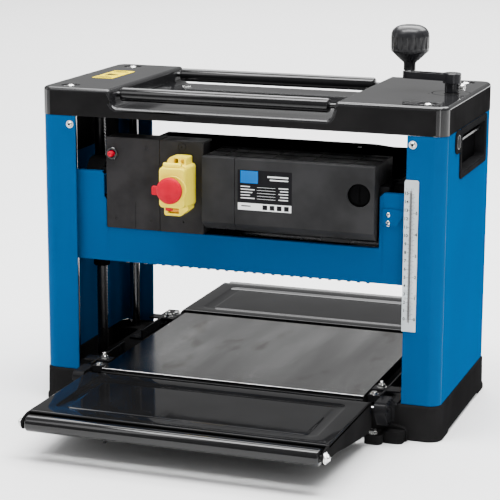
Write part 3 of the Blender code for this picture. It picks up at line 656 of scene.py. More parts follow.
def height_scale():
    low, high = box_mm("height_scale")
    outline = rounded(low.x, low.z, high.x, high.z, (0.6, 0.6, 2.6, 2.6))
    plate = prism("scale_strip", outline, "y", low.y, high.y)
    place(plate, "scale_plate", "frame", "height_scale", edge=0.15)
    zero, middle, inch, text_size = 148.2, (low.x + high.x) / 2, 25.4, 5.2
    front, back = low.y - 0.08, low.y + 0.05
    marks = [block("spine", (middle - 0.15, front, zero - 6), (middle + 0.15, back, zero + 156))]

    def mark(x0, x1, z, width):
        marks.append(block("mark", (x0, front, z - width / 2), (x1, back, z + width / 2)))

    for step in range(151):
        length = 4.2 if step % 10 == 0 else 3.0 if step % 5 == 0 else 2.0
        mark(middle - length, middle, zero + step, 0.36)
    for step in range(95):
        length = 5.6 if step % 16 == 0 else 4.4 if step % 4 == 0 else 3.0
        mark(middle, middle + length, zero + step * inch / 16, 0.4)
    group("scale_marks", marks, "ink", "frame")
    band = block("scale_band", (middle - 1.9, low.y - 0.04, zero - 4), (middle + 0.9, low.y + 0.05, zero + 153))
    place(band, "print_grey", "frame")
    digits = [numeral(str(count), (low.x + 2.6, front, zero + 10 * count), text_size) for count in range(16)]
    digits += [numeral(str(count), (high.x - 1.9, front, zero + inch * count), text_size) for count in range(6)]
    group("scale_numerals", digits, "ink", "frame")


def numeral(text, where, size):
    """A number for a dial, standing on the front of the plate."""
    curve = bpy.data.curves.new("numeral", "FONT")
    curve.body = text
    curve.size = size * MM
    curve.extrude = 0.05 * MM
    curve.offset = 0.12 * MM
    curve.align_x, curve.align_y = "CENTER", "CENTER"
    curve.resolution_u = 3
    obj = bpy.data.objects.new("numeral", curve)
    bpy.context.scene.collection.objects.link(obj)
    obj.matrix_world = Matrix.Translation(Vector(where) * MM) @ Matrix.Rotation(math.pi / 2, 4, "X")
    bpy.context.view_layer.update()
    graph = bpy.context.evaluated_depsgraph_get()
    mesh = bpy.data.meshes.new_from_object(obj.evaluated_get(graph))
    mesh.transform(obj.matrix_world)
    bpy.data.objects.remove(obj)
    made = bpy.data.objects.new("numeral", mesh)
    bpy.context.scene.collection.objects.link(made)
    return made


# ---------------------------------------------------------------- base and bed


BASE_TOP = 43.4
BED_X = 168.7
HINGE = (-156, 45)


def base():
    """The moulded base: a flared foot, drafted walls and a rounded rim round the column feet."""
    levels = (
        (1.2, 0, 17), (0, 1.2, 18), (0, 5, 18), (1.4, 9, 17), (1.8, 36, 17), (1.8, 40.6, 17),
        (2.3, 42.2, 16.5), (3.4, 43.2, 15.5), (4.6, BASE_TOP, 14.5),
    )
    rings = []
    for inset, z, radius in levels:
        x, y = 258 - inset, 128 - inset
        rings.append([(u, v, z) for u, v in rounded(-x, -y, x, y, radius, 10)])
    body = loft("base_moulding", rings)
    join(body, block("riser", (-BED_X, -145, 30), (BED_X, 140, 52)))
    shelf = BASE_TOP - 1
    corners = ((171, 0), (219, 0), (219, 16), (200, 20), (200, shelf), (171, shelf))
    boss = filleted(corners, (0, 0, 7, 4, 3, 0), 5)
    for side, _ in SIDES:
        for end, _ in ENDS:
            join(body, prism("boss", [(side * u, v) for u, v in boss], "y", *span(end, 120, 133)))
            for near, far, reach, top in ((191, 217, 146, 14.5), (172, 194, 157, 12)):
                (x0, x1), (y0, y1) = span(side, near, far), span(end, 118, reach)
                join(body, prism("foot", rounded(x0, y0, x1, y1, 7, 5), "z", 0, top))
            cut(body, rod("post_hole", 7.3, "z", (side * 226, end * 98), 14, 60))
        cut(body, block("well", (side * 213, -80, 20), (side * 251, 80, 60)))
        cut(body, rod("screw_hole", 5.5, "z", (side * CRANK_X, 0), -1, 30))
        arch = filleted(((-88, -2), (88, -2), (82, 4.5), (-82, 4.5)), (0, 0, 4, 4), 5)
        cut(body, prism("arch", arch, "x", *span(side, 246, 262)))
    cut(body, block("chain_channel", (-252, -22, -1), (252, 22, 14)))
    for end, _ in ENDS:
        cut(body, block("pocket", (-200, end * 30, -1), (200, end * 119, 36)))
        arch = filleted(((-150, -2), (150, -2), (142, 6), (-142, 6)), (0, 0, 4, 4), 5)
        cut(body, prism("arch", arch, "y", *span(end, 115, 150)))
    place(body, "satin_black", "frame", "base_casting", edge=0.9, steps=3, crease=42)

    bolts = []
    for side, _ in SIDES:
        for end, _ in ENDS:
            bolts += hex_bolt((side * 182, end * 149, 11.8), "+z", 9.5, 4.2)
    group("levelling_bolts", bolts, "zinc", "frame")


def bed():
    low, high = box_mm("bed_plate")
    outline = rounded(low.y, low.z, high.y, high.z, (0.4, 0.4, 1.2, 1.2), 4)
    plate = prism("bed_sheet", outline, "x", low.x, high.x)
    place(plate, "bed_steel", "frame", "bed_plate", edge=0.3)
    lips = []
    for near, far in ((-145.2, -147.4), (140.2, 142.4)):
        outline = filleted(((near, 42), (far, 42), (far, 50.6), (near, 51.6)), 0.8, 4)
        lips.append(prism("lip", outline, "x", -BED_X, BED_X))
    group("bed_lips", lips, "table_black", "frame", edge=0.3)
    for side, label in SIDES:
        side_hardware(side, label)


def side_hardware(side, label):
    """The black bracket beside the bed, with the bolts that set the tables' height."""
    parts = []
    for end, _ in ENDS:
        y0, y1 = span(end, 30, 133)
        for name, inner, outer, front, back, foot, top in (
            ("rail", 187, 206, y0, y1, BASE_TOP - 0.4, BASE_TOP + 2.2),
            ("wall", 187, 189.2, y0, y1, BASE_TOP, 57),
            ("cross_strap", 171, 206, end * 108 - 9, end * 108 + 9, 54, 56.4),
            ("pad", 171, 186, end * 128 - 8, end * 128 + 8, 46, 54.5),
        ):
            parts.append(block(name, (side * inner, front, foot), (side * outer, back, top)))
    group(f"bed_brackets_{label}", parts, "black_metal", "frame", edge=0.6, crease=35)
    bolts = []
    for end, _ in ENDS:
        bolts += hex_bolt((side * 178, end * 131, 54.5), "+z", 7, 3)
        bolts += hex_bolt((side * 181, end * 108, 56.4), "+z", 8, 4, 4)
    group(f"bed_bolts_{label}", bolts, "zinc", "frame")


def table_brackets():
    for side, side_label in SIDES:
        for end, end_label in ENDS:
            place_name = f"{end_label}_{side_label}"
            node = f"table_bracket_{place_name}"
            low, high = box_mm(node)
            outline = [(-128.3, low.z), (-128.3, high.z), (-150, high.z)]
            outline += arc(HINGE, 8, 90, 215, 12) + [(-148, low.z)]
            lug = prism(f"hinge_lug_{place_name}", [(-end * y, z) for y, z in outline], "x", low.x, high.x)
            pivot = (-end * HINGE[0], HINGE[1])
            cut(lug, rod("pin_hole", 3.3, "x", pivot, low.x - 2, high.x + 2))
            join(lug, block("flange", (low.x - 3, end * 128.2, low.z + 1), (high.x + 3, end * 131, high.z - 6)))
            place(lug, "black_metal", "frame", node, edge=0.8, steps=3, crease=38)
            face = high.x if side > 0 else low.x
            washer = (3.4, 6.2), "x", pivot, *sorted((face, face + side * 1.4)), 28
            place(tube(f"hinge_washer_{place_name}", *washer), "black_metal", "frame", edge=0.2)


# ---------------------------------------------------------------- height adjustment


def threaded_rod(name, centre, low, high, radius, pitch, depth, segments=20):
    """A screw whose thread is a real helix: crest and root lines wound up the rod."""
    shape = bmesh.new()
    turns = (high - low) / pitch
    count = int(turns * segments)
    crests, roots = [], []
    for step in range(count + 1):
        angle = math.tau * step / segments
        height = low + step * pitch / segments
        for row, r, lift in ((crests, radius, 0), (roots, radius - depth, pitch / 2)):
            top = min(height + lift, high)
            x, y = centre[0] + r * math.cos(angle), centre[1] + r * math.sin(angle)
            row.append(shape.verts.new(Vector((x, y, top)) * MM))
    for step in range(count):
        shape.faces.new((crests[step], crests[step + 1], roots[step + 1], roots[step]))
        if step + segments + 1 <= count:
            shape.faces.new((roots[step], roots[step + 1], crests[step + segments + 1], crests[step + segments]))
    shape.faces.new(crests[:segments][::-1])
    shape.faces.new(roots[-segments:])
    return from_bmesh(name, shape)


def lead_screws():
    for side, label, body in ((-1, "left", "left_screw"), (1, "right", "crank")):
        low, high = box_mm(f"lead_screw_{label}")
        centre = (side * CRANK_X, 0)
        thread = threaded_rod(f"screw_thread_{label}", centre, 24, 372, 7.45, 4, 1.1)
        place(thread, "dark_steel", body, f"lead_screw_{label}", crease=75)
        steps = ((low.z, 20.4, 5.2), (20.4, 24.5, 7.4), (371.5, 380, 7.4), (380, high.z, 6))
        journals = [turned("journal", bevelled(*step), "z", centre, 28) for step in steps]
        group(f"screw_journals_{label}", journals, "dark_steel", body)


def crank():
    foot = box_mm("crank_arm")[0].z
    knob_low, knob_high = box_mm("crank_knob")
    knob = ((knob_low.x + knob_high.x) / 2, (knob_low.y + knob_high.y) / 2)
    shoulder = 411.5
    hub = [(foot, 0), (foot, 7.9), (foot + 0.7, 8.6)]
    hub += [(shoulder - 0.5, 8.6), (shoulder, 10.4), (shoulder + 0.7, 11), (423, 11), (424, 10), (424, 0)]
    arm = turned("crank_casting", hub, "z", (CRANK_X, 0), 40)
    join(arm, prism("bar", loop((CRANK_X, 0, 9.2), (*knob, 8.2), 10), "z", 414.6, 422.6))
    pocket = filleted(((217, -4.6), (217, 5.4), (189, 9.8), (189, 0.4)), 2.2, 4)
    cut(arm, prism("top_pocket", pocket, "z", 421, 426))
    join(arm, prism("rib", rounded(201, -3, 205, 9, 1, 3), "z", 415, 422))
    cut(arm, rod("bore", 6.3, "z", (CRANK_X, 0), 390, 430))
    cut(arm, rod("clamp_hole", 2.6, "x", (0, 407), CRANK_X + 4, 250, 16))
    place(arm, "crank_black", "crank", "crank_arm", edge=0.6, steps=3, crease=38)
    bolt = rod("knob_bolt", 4, "z", knob, 421, 466, 20)
    place(bolt, "chrome", "crank")
    shaft = ((420, 0), (420, 5.6), (423.4, 5.6), (424.2, 4.6), (424.2, 0))
    place(turned("shaft_end", shaft, "z", (CRANK_X, 0), 28), "dark_steel", "crank")
    screw_low, screw_high = box_mm("crank_clamp_screw")
    reach = screw_high.x - screw_low.x
    top = reach - 4.7
    cap = ((0, 0), (0, 4.3), (0.5, 4.7), (top - 0.7, 4.7), (top, 4.1), (top, 0))
    cap = turned("cap", cap, "z", (0, 0), 28)
    cut(cap, rod("socket", 2.7, "z", (0, 0), reach - 7.2, reach + 1, 6))
    head = [aim(cap, (screw_low.x + 4.4, 0, 407), "+x")]
    head.append(rod("shank", 2.3, "x", (0, 407), screw_low.x, screw_low.x + 5, 16))
    group("clamp_bolt", head, "zinc", "crank", "crank_clamp_screw")
    grip(knob, knob_low.z, knob_high.z)


def grip(centre, low, high):
    """The knob: a stem, a cone, a fluted drum under a lipped crown."""
    flutes, depth, segments = 18, 1.7, 144
    profile = [(low, 4.3), (low, 7.3), (low + 8.6, 7.3), (low + 10, 8.1)]
    profile += [(low + 10 + 12 * t, 8.1 + 13.2 * t ** 0.92) for t in (0.25, 0.5, 0.75, 0.95)]
    profile += [(low + 23.2, 22.6), (low + 24.6, 23.1), (low + 25.6, 22.7), (low + 26.2, 22.9), (low + 27.6, 23.2)]
    profile += [(high - 14.4, 23.2), (high - 13.4, 23.1), (high - 12.8, 22.9)]
    for angle in map(math.radians, range(8, 90, 8)):
        profile.append((high - 12.6 + 12.6 * math.sin(angle), 4 + 19 * math.cos(angle) ** 0.8))
    shape = bmesh.new()
    rings = []
    for z, radius in profile:
        ring = []
        on_drum = low + 27 <= z <= high - 14
        for step in range(segments):
            angle = math.tau * step / segments
            reach = radius - on_drum * depth * max(0.0, math.cos(flutes * angle)) ** 3
            x, y = centre[0] + reach * math.cos(angle), centre[1] + reach * math.sin(angle)
            ring.append(shape.verts.new(Vector((x, y, z)) * MM))
        rings.append(ring)
    for one, other in zip(rings, rings[1:]):
        for step in range(segments):
            after = (step + 1) % segments
            shape.faces.new((one[step], one[after], other[after], other[step]))
    top = shape.verts.new(Vector((*centre, high)) * MM)
    for step in range(segments):
        shape.faces.new((rings[-1][step], rings[-1][(step + 1) % segments], top))
    shape.faces.new(rings[0])
    place(from_bmesh("fluted_knob", shape), "knob_black", "knob", "crank_knob", crease=50)


def lead_nuts():
    for side, label in SIDES:
        corners = ((214.3, 186), (214.3, 177), (222, 164.5), (246, 164.5), (248, 168), (248, 186))
        outline = filleted(corners, (0, 2, 2, 2, 2, 0), 4)
        nut = prism(f"nut_bracket_{label}", [(side * x, z) for x, z in outline], "y", -17, 17)
        axle = (side * CRANK_X, 0)
        join(nut, turned("sleeve", ((150, 0), (150, 9.6), (151, 10.6), (166, 10.6), (166, 0)), "z", axle))
        cut(nut, rod("thread", 7.8, "z", axle, 140, 200))
        place(nut, "deep_black", "carriage", f"lead_nut_{label}", edge=0.6, crease=38)


# ---------------------------------------------------------------- cutting head


MOTOR_AXIS = (-76, 290)
BRUSH = (152.5, 291)


def front_panel():
    """The blue sheet across the head, with its flanges folded back."""
    low, high = box_mm("front_panel")
    outline = filleted(
        (
            (low.x, low.z), (high.x, low.z), (high.x, 294), (180, 294), (175.5, 289.5),
            (175.5, 227.5), (-173, 227.5), (-173, 262), (-176, 266), (-176, 294), (-179, 297), (low.x, 297),
        ),
        (1, 1, 0.5, 1, 1, 1, 1, 1, 1, 1, 1, 0.5), 4,
    )
    sheet = prism("head_panel", outline, "y", low.y, high.y)
    back = high.y + 7
    for x0, x1, depth, z0, z1 in (
        (low.x + 0.5, -179.5, back, 295.2, 297),
        (180.5, high.x - 0.5, back, 292.2, 294),
        (-174.8, -173, back, 229, 260),
        (-177.8, -176, back, 268, 293),
        (175.5, 177.3, back, 229, 288),
        (-172, 174.5, back - 2, 225.7, 227.5),
        (-212, 212, back - 3, low.z, low.z + 1.8),
    ):
        join(sheet, block("flange", (x0, low.y + 0.3, z0), (x1, depth, z1)))
    for x, top in ((-171.2, 226), (179.6, 292)):
        cut(sheet, block("fold_line", (x - 0.25, low.y - 1, 197), (x + 0.25, low.y + 0.35, top)))
    place(sheet, "blue_paint", "carriage", "front_panel", edge=0.6, steps=3, crease=38)
    screws = []
    for z in (269, 259.6):
        screws += cross_screw((186, -114, z), "-y", 3.1)
    group("panel_screws", screws, "zinc", "carriage")


def switch_panel():
    """The control box: two moulded covers side by side, with a groove, a vent ring and a collar."""
    low, high = box_mm("switch_panel")
    joint = -101
    gap, top = 0.35, high.z - 2.5
    left = rounded(low.x, low.z, joint - gap, high.z, 1.6, 4)
    left = prism("control_cover_left", left, "y", low.y + 0.4, high.y)
    right = rounded(joint + gap, low.z, high.x, high.z, 1.6, 4)
    right = prism("control_cover_right", right, "y", low.y, high.y)
    cut(left, block("inside", (low.x + 2.5, low.y + 2.9, low.z + 2.5), (joint - 2.8, high.y + 2, top)))
    cut(right, block("inside", (joint + 2.8, low.y + 2.5, low.z + 2.5), (high.x - 2.5, high.y + 2, top)))
    cut(left, block("groove", (-133.7, low.y, low.z - 1), (-133.2, low.y + 1.0, 262)))
    reset = (-163.6, 320.8)
    cut(left, rod("reset_hole", 4.9, "y", reset, low.y - 4, low.y + 12))
    for x, z in ((-118, 330), (-158, 240), (-112, 240)):
        cut(left, rod("sink", 2.4, "y", (x, z), low.y - 1, low.y + 1.0, 20))
    vent = (-71.4, 334.2)
    cut(right, tube("ring", (4.7, 5.5), "y", vent, low.y - 1, low.y + 0.8, 36))
    cut(right, rod("ring_eye", 1.6, "y", vent, low.y - 1, low.y + 1, 20))
    cut(right, rod("drain", 1.3, "y", (-69.7, 242), low.y - 1, low.y + 1.5, 16))
    place(left, "panel_black", "carriage", "switch_panel", edge=0.35)
    place(right, "panel_black", "carriage", edge=0.35)
    collar = ((-117.6, 5.2), (-117.6, 7), (-116.8, 7.8), (-115.4, 7.8), (-115.4, 5.2))
    place(turned("reset_collar", collar, "y", reset, 36), "gloss_black", "carriage")
    cap = ((-123.5, 0), (-123.5, 2.6), (-122.9, 3.3), (-121.8, 3.7), (-106, 3.7), (-106, 0))
    place(turned("reset_cap", cap, "y", reset, 28), "switch_red", "reset", "reset_button", crease=35)
    lip = block("control_cover_lip", (low.x, -92, 338.5), (-45, -84, 341))
    place(lip, "panel_black", "carriage", edge=0.4)


def motor_cover():
    """The motor's front shell: two mouldings with a joint, ribs above and a brush-cap well."""
    low, high = box_mm("motor_cover")
    joint, wall = -1.5, 3
    corners = ((low.y, low.z + 10), (low.y + 12, low.z), (high.y, low.z), (high.y, high.z), (low.y, high.z))
    outer = filleted(corners, (1.5, 3, 0, 0, 1.6), 6)
    front, back, foot, top = low.y + wall, high.y + 4, low.z + wall, high.z - wall
    inner = ((front, 247.4), (low.y + 13, foot), (back, foot), (back, top), (front, top))
    left = prism("motor_shell_left", outer, "x", low.x, joint - 0.3)
    right = prism("motor_shell_right", outer, "x", joint + 0.3, high.x)
    cut(left, prism("inside", inner, "x", low.x + wall, joint + 0.7))
    cut(right, prism("inside", inner, "x", joint - 0.7, high.x - wall))
    cut(left, rod("shaft_hole", 9, "x", MOTOR_AXIS, low.x - 5, low.x + 8))
    cut(right, rod("brush_hole", 14, "y", BRUSH, low.y - 6, low.y + 14, 48))
    place(left, "moulded_black", "carriage", edge=0.55, steps=3, crease=38)
    place(right, "moulded_black", "carriage", "motor_cover", edge=0.55, steps=3, crease=38)
    foot, thick = high.z - 0.2, 1.6
    ribs = [block("lip", (low.x + 2, y, foot), (high.x - 2, y + thick, high.z + 1)) for y in (-112, -84, -60)]
    ribs += [block("rib", (x, -112, foot), (x + thick, -60, high.z + 0.8)) for x in (-20, 40, 90, 140)]
    group("motor_cover_ribs", ribs, "moulded_black", "carriage", edge=0.3)
    well = tube("brush_well", (13.6, 15.4), "y", BRUSH, low.y + 2.2, low.y + 12, 48)
    place(well, "deep_black", "carriage", edge=0.3)
    profile = [(low.y + y, r) for y, r in ((4.5, 0), (4.5, 11.6), (5.3, 13), (11, 13), (11, 5))]
    cap = turned("brush_screw_cap", [*profile, (-91, 5), (-91, 0)], "y", BRUSH, 48)
    cut(cap, block("coin_slot", (151.4, low.y, 281), (153.6, low.y + 6, 301)))
    place(cap, "deep_black", "carriage", "brush_cap", edge=0.3, crease=35)
    rating_label(low.y)


def rating_label(front):
    """A plain data plate: a blue square, rows of bars and a pale strip, with nothing to read."""
    def sheet(one, other, proud):
        return block("print", (one[0], front - proud, one[1]), (other[0], front + 0.1, other[1]))

    plate = prism("data_plate", rounded(2.5, 264, 70.5, 313, 1, 3), "y", front - 0.12, front + 0.1)
    place(plate, "ink", "carriage")
    place(sheet((6, 297), (28, 312), 0.2), "print_blue", "carriage").name = "data_plate_square"
    place(sheet((3, 264.4), (70, 273), 0.2), "print_white", "carriage").name = "data_plate_strip"
    bars = [sheet((40, 305.2), (66, 307), 0.24), sheet((43, 301.6), (66, 303), 0.24)]
    for row in range(5):
        z = 292.4 - row * 3.5
        bars.append(sheet((6.5, z), (18 + 3 * ((row * 2) % 3), z + 1.1), 0.24))
        bars.append(sheet((27, z + 0.1), (50, z + 0.4), 0.24))
        bars.append(sheet((54 + 2 * (row % 2), z), (66, z + 1.1), 0.24))
    group("data_plate_lines", bars, "print_white", "carriage")
    blocks = [sheet((34 + 9 * k, 265.8), (40 + 9 * k, 271.6), 0.26) for k in range(4)]
    blocks.append(sheet((7, 268.6), (19, 270), 0.26))
    group("data_plate_blocks", blocks, "ink", "carriage")


def head_cover():
    """The hood over the cutter: it slopes down to the rear and steps down at its right end."""
    low, high = box_mm("head_cover")
    ledge = high.x - 18
    corners = (
        (low.x, low.z), (high.x, low.z), (high.x, high.z - 9),
        (ledge, high.z - 9.4), (ledge - 11, high.z), (low.x, high.z),
    )
    hood = prism("head_hood", filleted(corners, (0, 0, 2, 3, 9, 6), 7), "y", low.y, high.y)
    front, back, foot = low.y - 1, high.y + 1, low.z - 1
    slope = ((front, foot), (back, foot), (back, 310), (high.y, 310), (0, high.z), (front, high.z + 1))
    combine(hood, prism("slope", slope, "x", low.x - 1, high.x + 1), "INTERSECT")
    front, back, foot, top = low.y + 2.5, high.y - 2.5, low.z - 2, high.z - 12.5
    inner = ((front, foot), (back, foot), (back, 307.4), (0, top), (front, top))
    cut(hood, prism("inside", inner, "x", low.x + 3, high.x - 3))
    place(hood, "deep_black", "carriage", "head_cover", edge=1.0, steps=3, crease=38)
    screws = []
    for x in (-128, 126):
        screws += cross_screw((x, -30, high.z - 1.4), "+z", 3.0, washer=False)
    group("hood_screws", screws, "zinc", "carriage")


def switch():
    """The safety switch: a moulded box with ears, a hinged stop paddle and its two push buttons."""
    low, high = box_mm("switch_body")
    middle = -70.5
    box = prism("switch_housing", rounded(low.x, 264.6, high.x, 316, 4.5, 6), "y", low.y, high.y)
    crest = high.z - 3
    ear = filleted(((-83, 306), (-58.5, 306), (-58.5, crest), (-79, crest), (-83, 320)), (0, 0, 2, 4, 3), 4)
    join(box, prism("top_ear", ear, "y", high.y - 20, high.y))
    tail = filleted(((-87, 275), (-87, low.z), (-66, low.z), (-56, 261), (-56, 275)), (0, 3, 4, 3, 0), 4)
    join(box, prism("low_ear", tail, "y", high.y - 20, high.y))
    cut(box, prism("ear_slot", rounded(-74.5, 316.6, -68.7, 323.2, 1.4, 4), "y", low.y, high.y - 3))
    cut(box, prism("ear_notch", rounded(-65.5, 317, -61.5, 323, 1.2, 4), "y", low.y, high.y - 14))
    cut(box, prism("tail_window", rounded(-83, 256, -68, 263, 1, 3), "y", low.y, high.y - 2.5))
    for z in (305, 281):
        cut(box, rod("pocket", 5.3, "y", (middle, z), low.y - 2, low.y + 19.8))
    cut(box, block("shut_line", (low.x - 1, high.y - 13.3, 262), (high.x + 1, high.y - 12.7, 318)))
    place(box, "switch_yellow", "carriage", "switch_body", edge=0.8, steps=3, crease=38)
    backing = rounded(-74.3, 316.8, -68.9, 323, 1.3, 4)
    backing = prism("switch_ear_backing", backing, "y", high.y - 3.4, high.y - 2.6)
    place(backing, "switch_amber", "carriage")
    ear_screw = cross_screw((-71.2, high.y - 3.1, 320), "-y", 2.0, washer=False)
    group("switch_screws", ear_screw, "dark_steel", "carriage")
    tongue = prism("switch_tongue", rounded(-80, 256.6, -69, 260.4, 1.4, 4), "y", high.y - 17, high.y - 2)
    place(tongue, "switch_amber", "carriage", edge=0.4)
    lid(middle)
    for name, z, look, body in (
        ("start_button", 305, "switch_green", "start"), ("stop_button", 281, "switch_red", "stop"),
    ):
        front, back = (corner.y for corner in box_mm(name))
        profile = ((front, 0), (front, 3.9), (front + 0.5, 4.7), (front + 1.4, 5), (back, 5), (back, 0))
        place(turned(name + "_cap", profile, "y", (middle, z), 28), look, body, name, crease=35)


def lid(middle):
    low, high = box_mm("switch_lid")
    housing = box_mm("switch_body")[0].y
    face, stem_z = housing - 8, 288.5
    cover = prism("switch_paddle", rounded(low.x, 266, high.x, 315, 5, 6), "y", face, high.y)
    round_edges(cover, lambda _, one, other: min(one.y, other.y) < -0.9 and max(one.y, other.y) > -0.3, 2.2)
    join(cover, rod("knuckle", 2.9, "x", (housing - 3.5, 317.5), low.x + 5, high.x - 5, 24))
    cut(cover, block("inside", (low.x + 2.5, housing - 5, 268.5), (high.x - 2.5, housing + 8, 312.5)))
    steps = ((0.6, 0), (-0.5, 15.4), (-0.7, 16.6), (0.4, 17.4), (1.6, 17.4), (1.6, 0))
    join(cover, turned("boss", [(face + y, r) for y, r in steps], "y", (middle + 2, stem_z), 48))
    cut(cover, rod("stem_hole", 5.3, "y", (middle, stem_z), housing - 12, housing - 2, 28))
    place(cover, "switch_yellow", "lid", "switch_lid", edge=0.4, crease=38)
    tab = prism("paddle_tab", rounded(low.x - 9.5, 280.8, low.x + 3, 291.6, 1.8, 4), "y", face + 0.4, face + 3.6)
    place(tab, "switch_red", "lid", edge=0.6, steps=3)
    latch = block("paddle_latch", (middle - 8, face + 0.6, 262.6), (middle + 0.5, face + 4.6, 266.4))
    place(latch, "switch_red", "lid", edge=0.5, steps=3)
    front, back = (corner.y for corner in box_mm("stop_mushroom"))
    profile = [(front, 0)]
    for angle in map(math.radians, range(9, 91, 9)):
        profile.append((front + 4.8 * (1 - math.cos(angle)), 16 * math.sin(angle) ** 0.8))
    profile += [(front + 7.2, 16), (front + 8.2, 15.2), (front + 8.2, 5), (back, 5), (back, 0)]
    button = turned("stop_palm_button", profile, "y", (middle, stem_z), 64)
    place(button, "switch_red", "mushroom", "stop_mushroom", crease=35)


def dust_chute():
    """The chip chute: a box with a drafted mouth, a screw flange, ribs and the hose spigot."""
    low, high = box_mm("dust_chute")
    back, port = 128, (95, 270)
    chute = prism("chute_moulding", rounded(low.x, low.z, high.x, high.z, 4, 5), "y", low.y, back)
    steps = ((-14, 29), (-13, 28.4), (-2, 28), (-0.6, 28.4), (0, 27.6), (0, 0))
    spigot = [(120, 0), (120, 31), (130, 29.6)] + [(high.y + y, radius) for y, radius in steps]
    join(chute, turned("spigot", spigot, "y", port, 56))
    wall = 2.5
    inner = (low.x + wall, low.y - 6, low.z + wall), (high.x - wall, back - wall, high.z - wall)
    cut(chute, block("inside", *inner))
    cut(chute, rod("bore", 26.5, "y", port, 110, 170, 56))
    place(chute, "moulded_black", "carriage", "dust_chute", edge=0.8, steps=3, crease=38)
    ribs = [block("rib", (x, back - 0.3, low.z + 8), (x + 2, back + 1.6, high.z - 8)) for x in range(-130, 60, 22)]
    ribs.append(block("rib", (low.x + 8, back - 0.3, 256), (60, back + 1.6, 258)))
    group("chute_ribs", ribs, "moulded_black", "carriage", edge=0.3)
    screws = []
    for x in (-142, 142, -40):
        for z in (292, 223):
            screws += cross_screw((x, back, z), "+y", 3.2)
    group("chute_screws", screws, "zinc", "carriage")


def end_covers():
    low, high = box_mm("gear_cover")
    wall = 2.2
    cover = prism("gear_case", rounded(low.y, low.z, high.y, high.z, 9, 6), "x", low.x, high.x)
    round_edges(cover, lambda _, one, other: max(one.x, other.x) > 0.9 and min(one.x, other.x) < 0.3, 3)
    inner = rounded(low.y + wall, low.z + wall, high.y - wall, high.z - wall, 7, 5)
    cut(cover, prism("inside", inner, "x", low.x - 4, high.x - wall))
    place(cover, "moulded_black", "carriage", "gear_cover", edge=0.4)
    low, high = box_mm("belt_cover")
    cutter = (8, 205.3)
    cover = prism("belt_case", loop((*MOTOR_AXIS, 19.8), (*cutter, 25.8), 24), "x", low.x, high.x)
    round_edges(cover, lambda _, one, other: min(one.x, other.x) < -0.9 and max(one.x, other.x) > -0.3, 3)
    inner = loop((*MOTOR_AXIS, 17.6), (*cutter, 23.6), 20)
    cut(cover, prism("inside", inner, "x", low.x + wall, high.x + 4))
    place(cover, "moulded_black", "carriage", "belt_cover", edge=0.4)


def pointer():
    low, high = box_mm("scale_pointer")
    corners = ((179, 256), (196, 256), (207, 272.6), (207, 273.4), (196, 276), (179, 276))
    needle = prism("height_pointer", filleted(corners, (2, 2, 0, 0, 2, 2), 4), "y", low.y, high.y)
    place(needle, "blue_paint", "carriage", "scale_pointer", edge=0.3)


# ---------------------------------------------------------------- tables


TABLE_ROLLER = (-339, 43.3)


def skirt_outline():
    """The side wall of the infeed table: shallow at the roller and deep at the hinge."""
    ear = arc(HINGE, 7.5, -20, 60, 8)
    nose = arc(TABLE_ROLLER, 7.5, 120, 270, 10)
    sole = [(-304, 36), (-290, 34.5), (-276, 32.4), (-265, 30), (-176, 16.8), (-160, 18.5), (-152, 19.5)]
    return nose + sole + ear + [(-162, 53), (-330, 53)]


def pressing(y0, y1, top):
    """The pressed top: a folded rim, a flat border, then a sloping band down to a sunk panel."""
    levels = (
        (0, 1.5, -4.0), (0, 2.5, -1.8), (0.5, 2.2, -0.6), (1.4, 2, -0.12), (2.4, 2, 0),
        (20, 13, 0), (21, 13, -0.15), (22.4, 13, -0.7), (24, 12.5, -1.3),
        (29, 9, -1.9), (33, 6, -2.3), (34.4, 5, -2.3), (35.4, 4.5, -1.75), (36.6, 4, -1.45), (38, 4, -1.4),
    )
    rings = []
    for inset, radius, drop in levels:
        x, shorter = 181 - inset, inset * 0.86
        outline = rounded(-x, y0 + shorter, x, y1 - shorter, radius, 8)
        rings.append([(u, v, top + drop) for u, v in outline])
    return rings


def tables():
    for facing, label in ((1, "infeed"), (-1, "outfeed")):
        y0, y1 = span(facing, -325, -160)
        rings = pressing(y0, y1, box_mm(f"{label}_table")[1].z)
        top = loft(f"{label}_table_pressing", rings, (False, True))
        thick = top.modifiers.new("sheet", "SOLIDIFY")
        thick.thickness = 1.6 * MM
        thick.offset = -1
        place(top, "table_black", label, f"{label}_table", crease=70)
        flip_up(top)
        hinge, axle = ((facing * y, z) for y, z in (HINGE, TABLE_ROLLER))
        walls, pins = [], []
        for side, _ in SIDES:
            near, far = span(side, 178.6, 181)
            wall = prism("skirt", [(facing * y, z) for y, z in skirt_outline()], "x", near, far)
            walls.append(cut(wall, rod("axle_hole", 3.4, "x", axle, near - 4, far + 4, 20)))
            pins.append(turned("pin", bevelled(*span(side, 172, 193), 3), "x", hinge, 20))
        inner = 178.7
        walls.append(block("front_hem", (-inner, facing * -325, 43.5), (inner, facing * -323, 51.5)))
        walls.append(block("rear_hem", (-inner, facing * -162.5, 40), (inner, facing * -160.5, 51.5)))
        for x in (-60, 60):
            walls.append(block("stiffener", (x - 1, facing * -322, 45), (x + 1, facing * -164, 49.6)))
        group(f"{label}_table_skirt", walls, "satin_black", label, edge=0.5, crease=38)
        group(f"{label}_hinge_pins", pins, "chrome", label)
        hook = filleted(((-90, 23), (-86, 23), (-83, 27), (-83, 45), (-88, 45), (-88, 29)), 0.8, 3)
        hook = prism(f"{label}_hook", hook, "y", *span(facing, -321.8, -320))
        place(hook, "black_metal", label, edge=0.3)
        end_roller(label, axle)


def flip_up(obj):
    """Makes the pressing's faces point up, so that its thickness goes down."""
    if sum(face.normal.z * face.area for face in obj.data.polygons) < 0:
        obj.data.flip_normals()


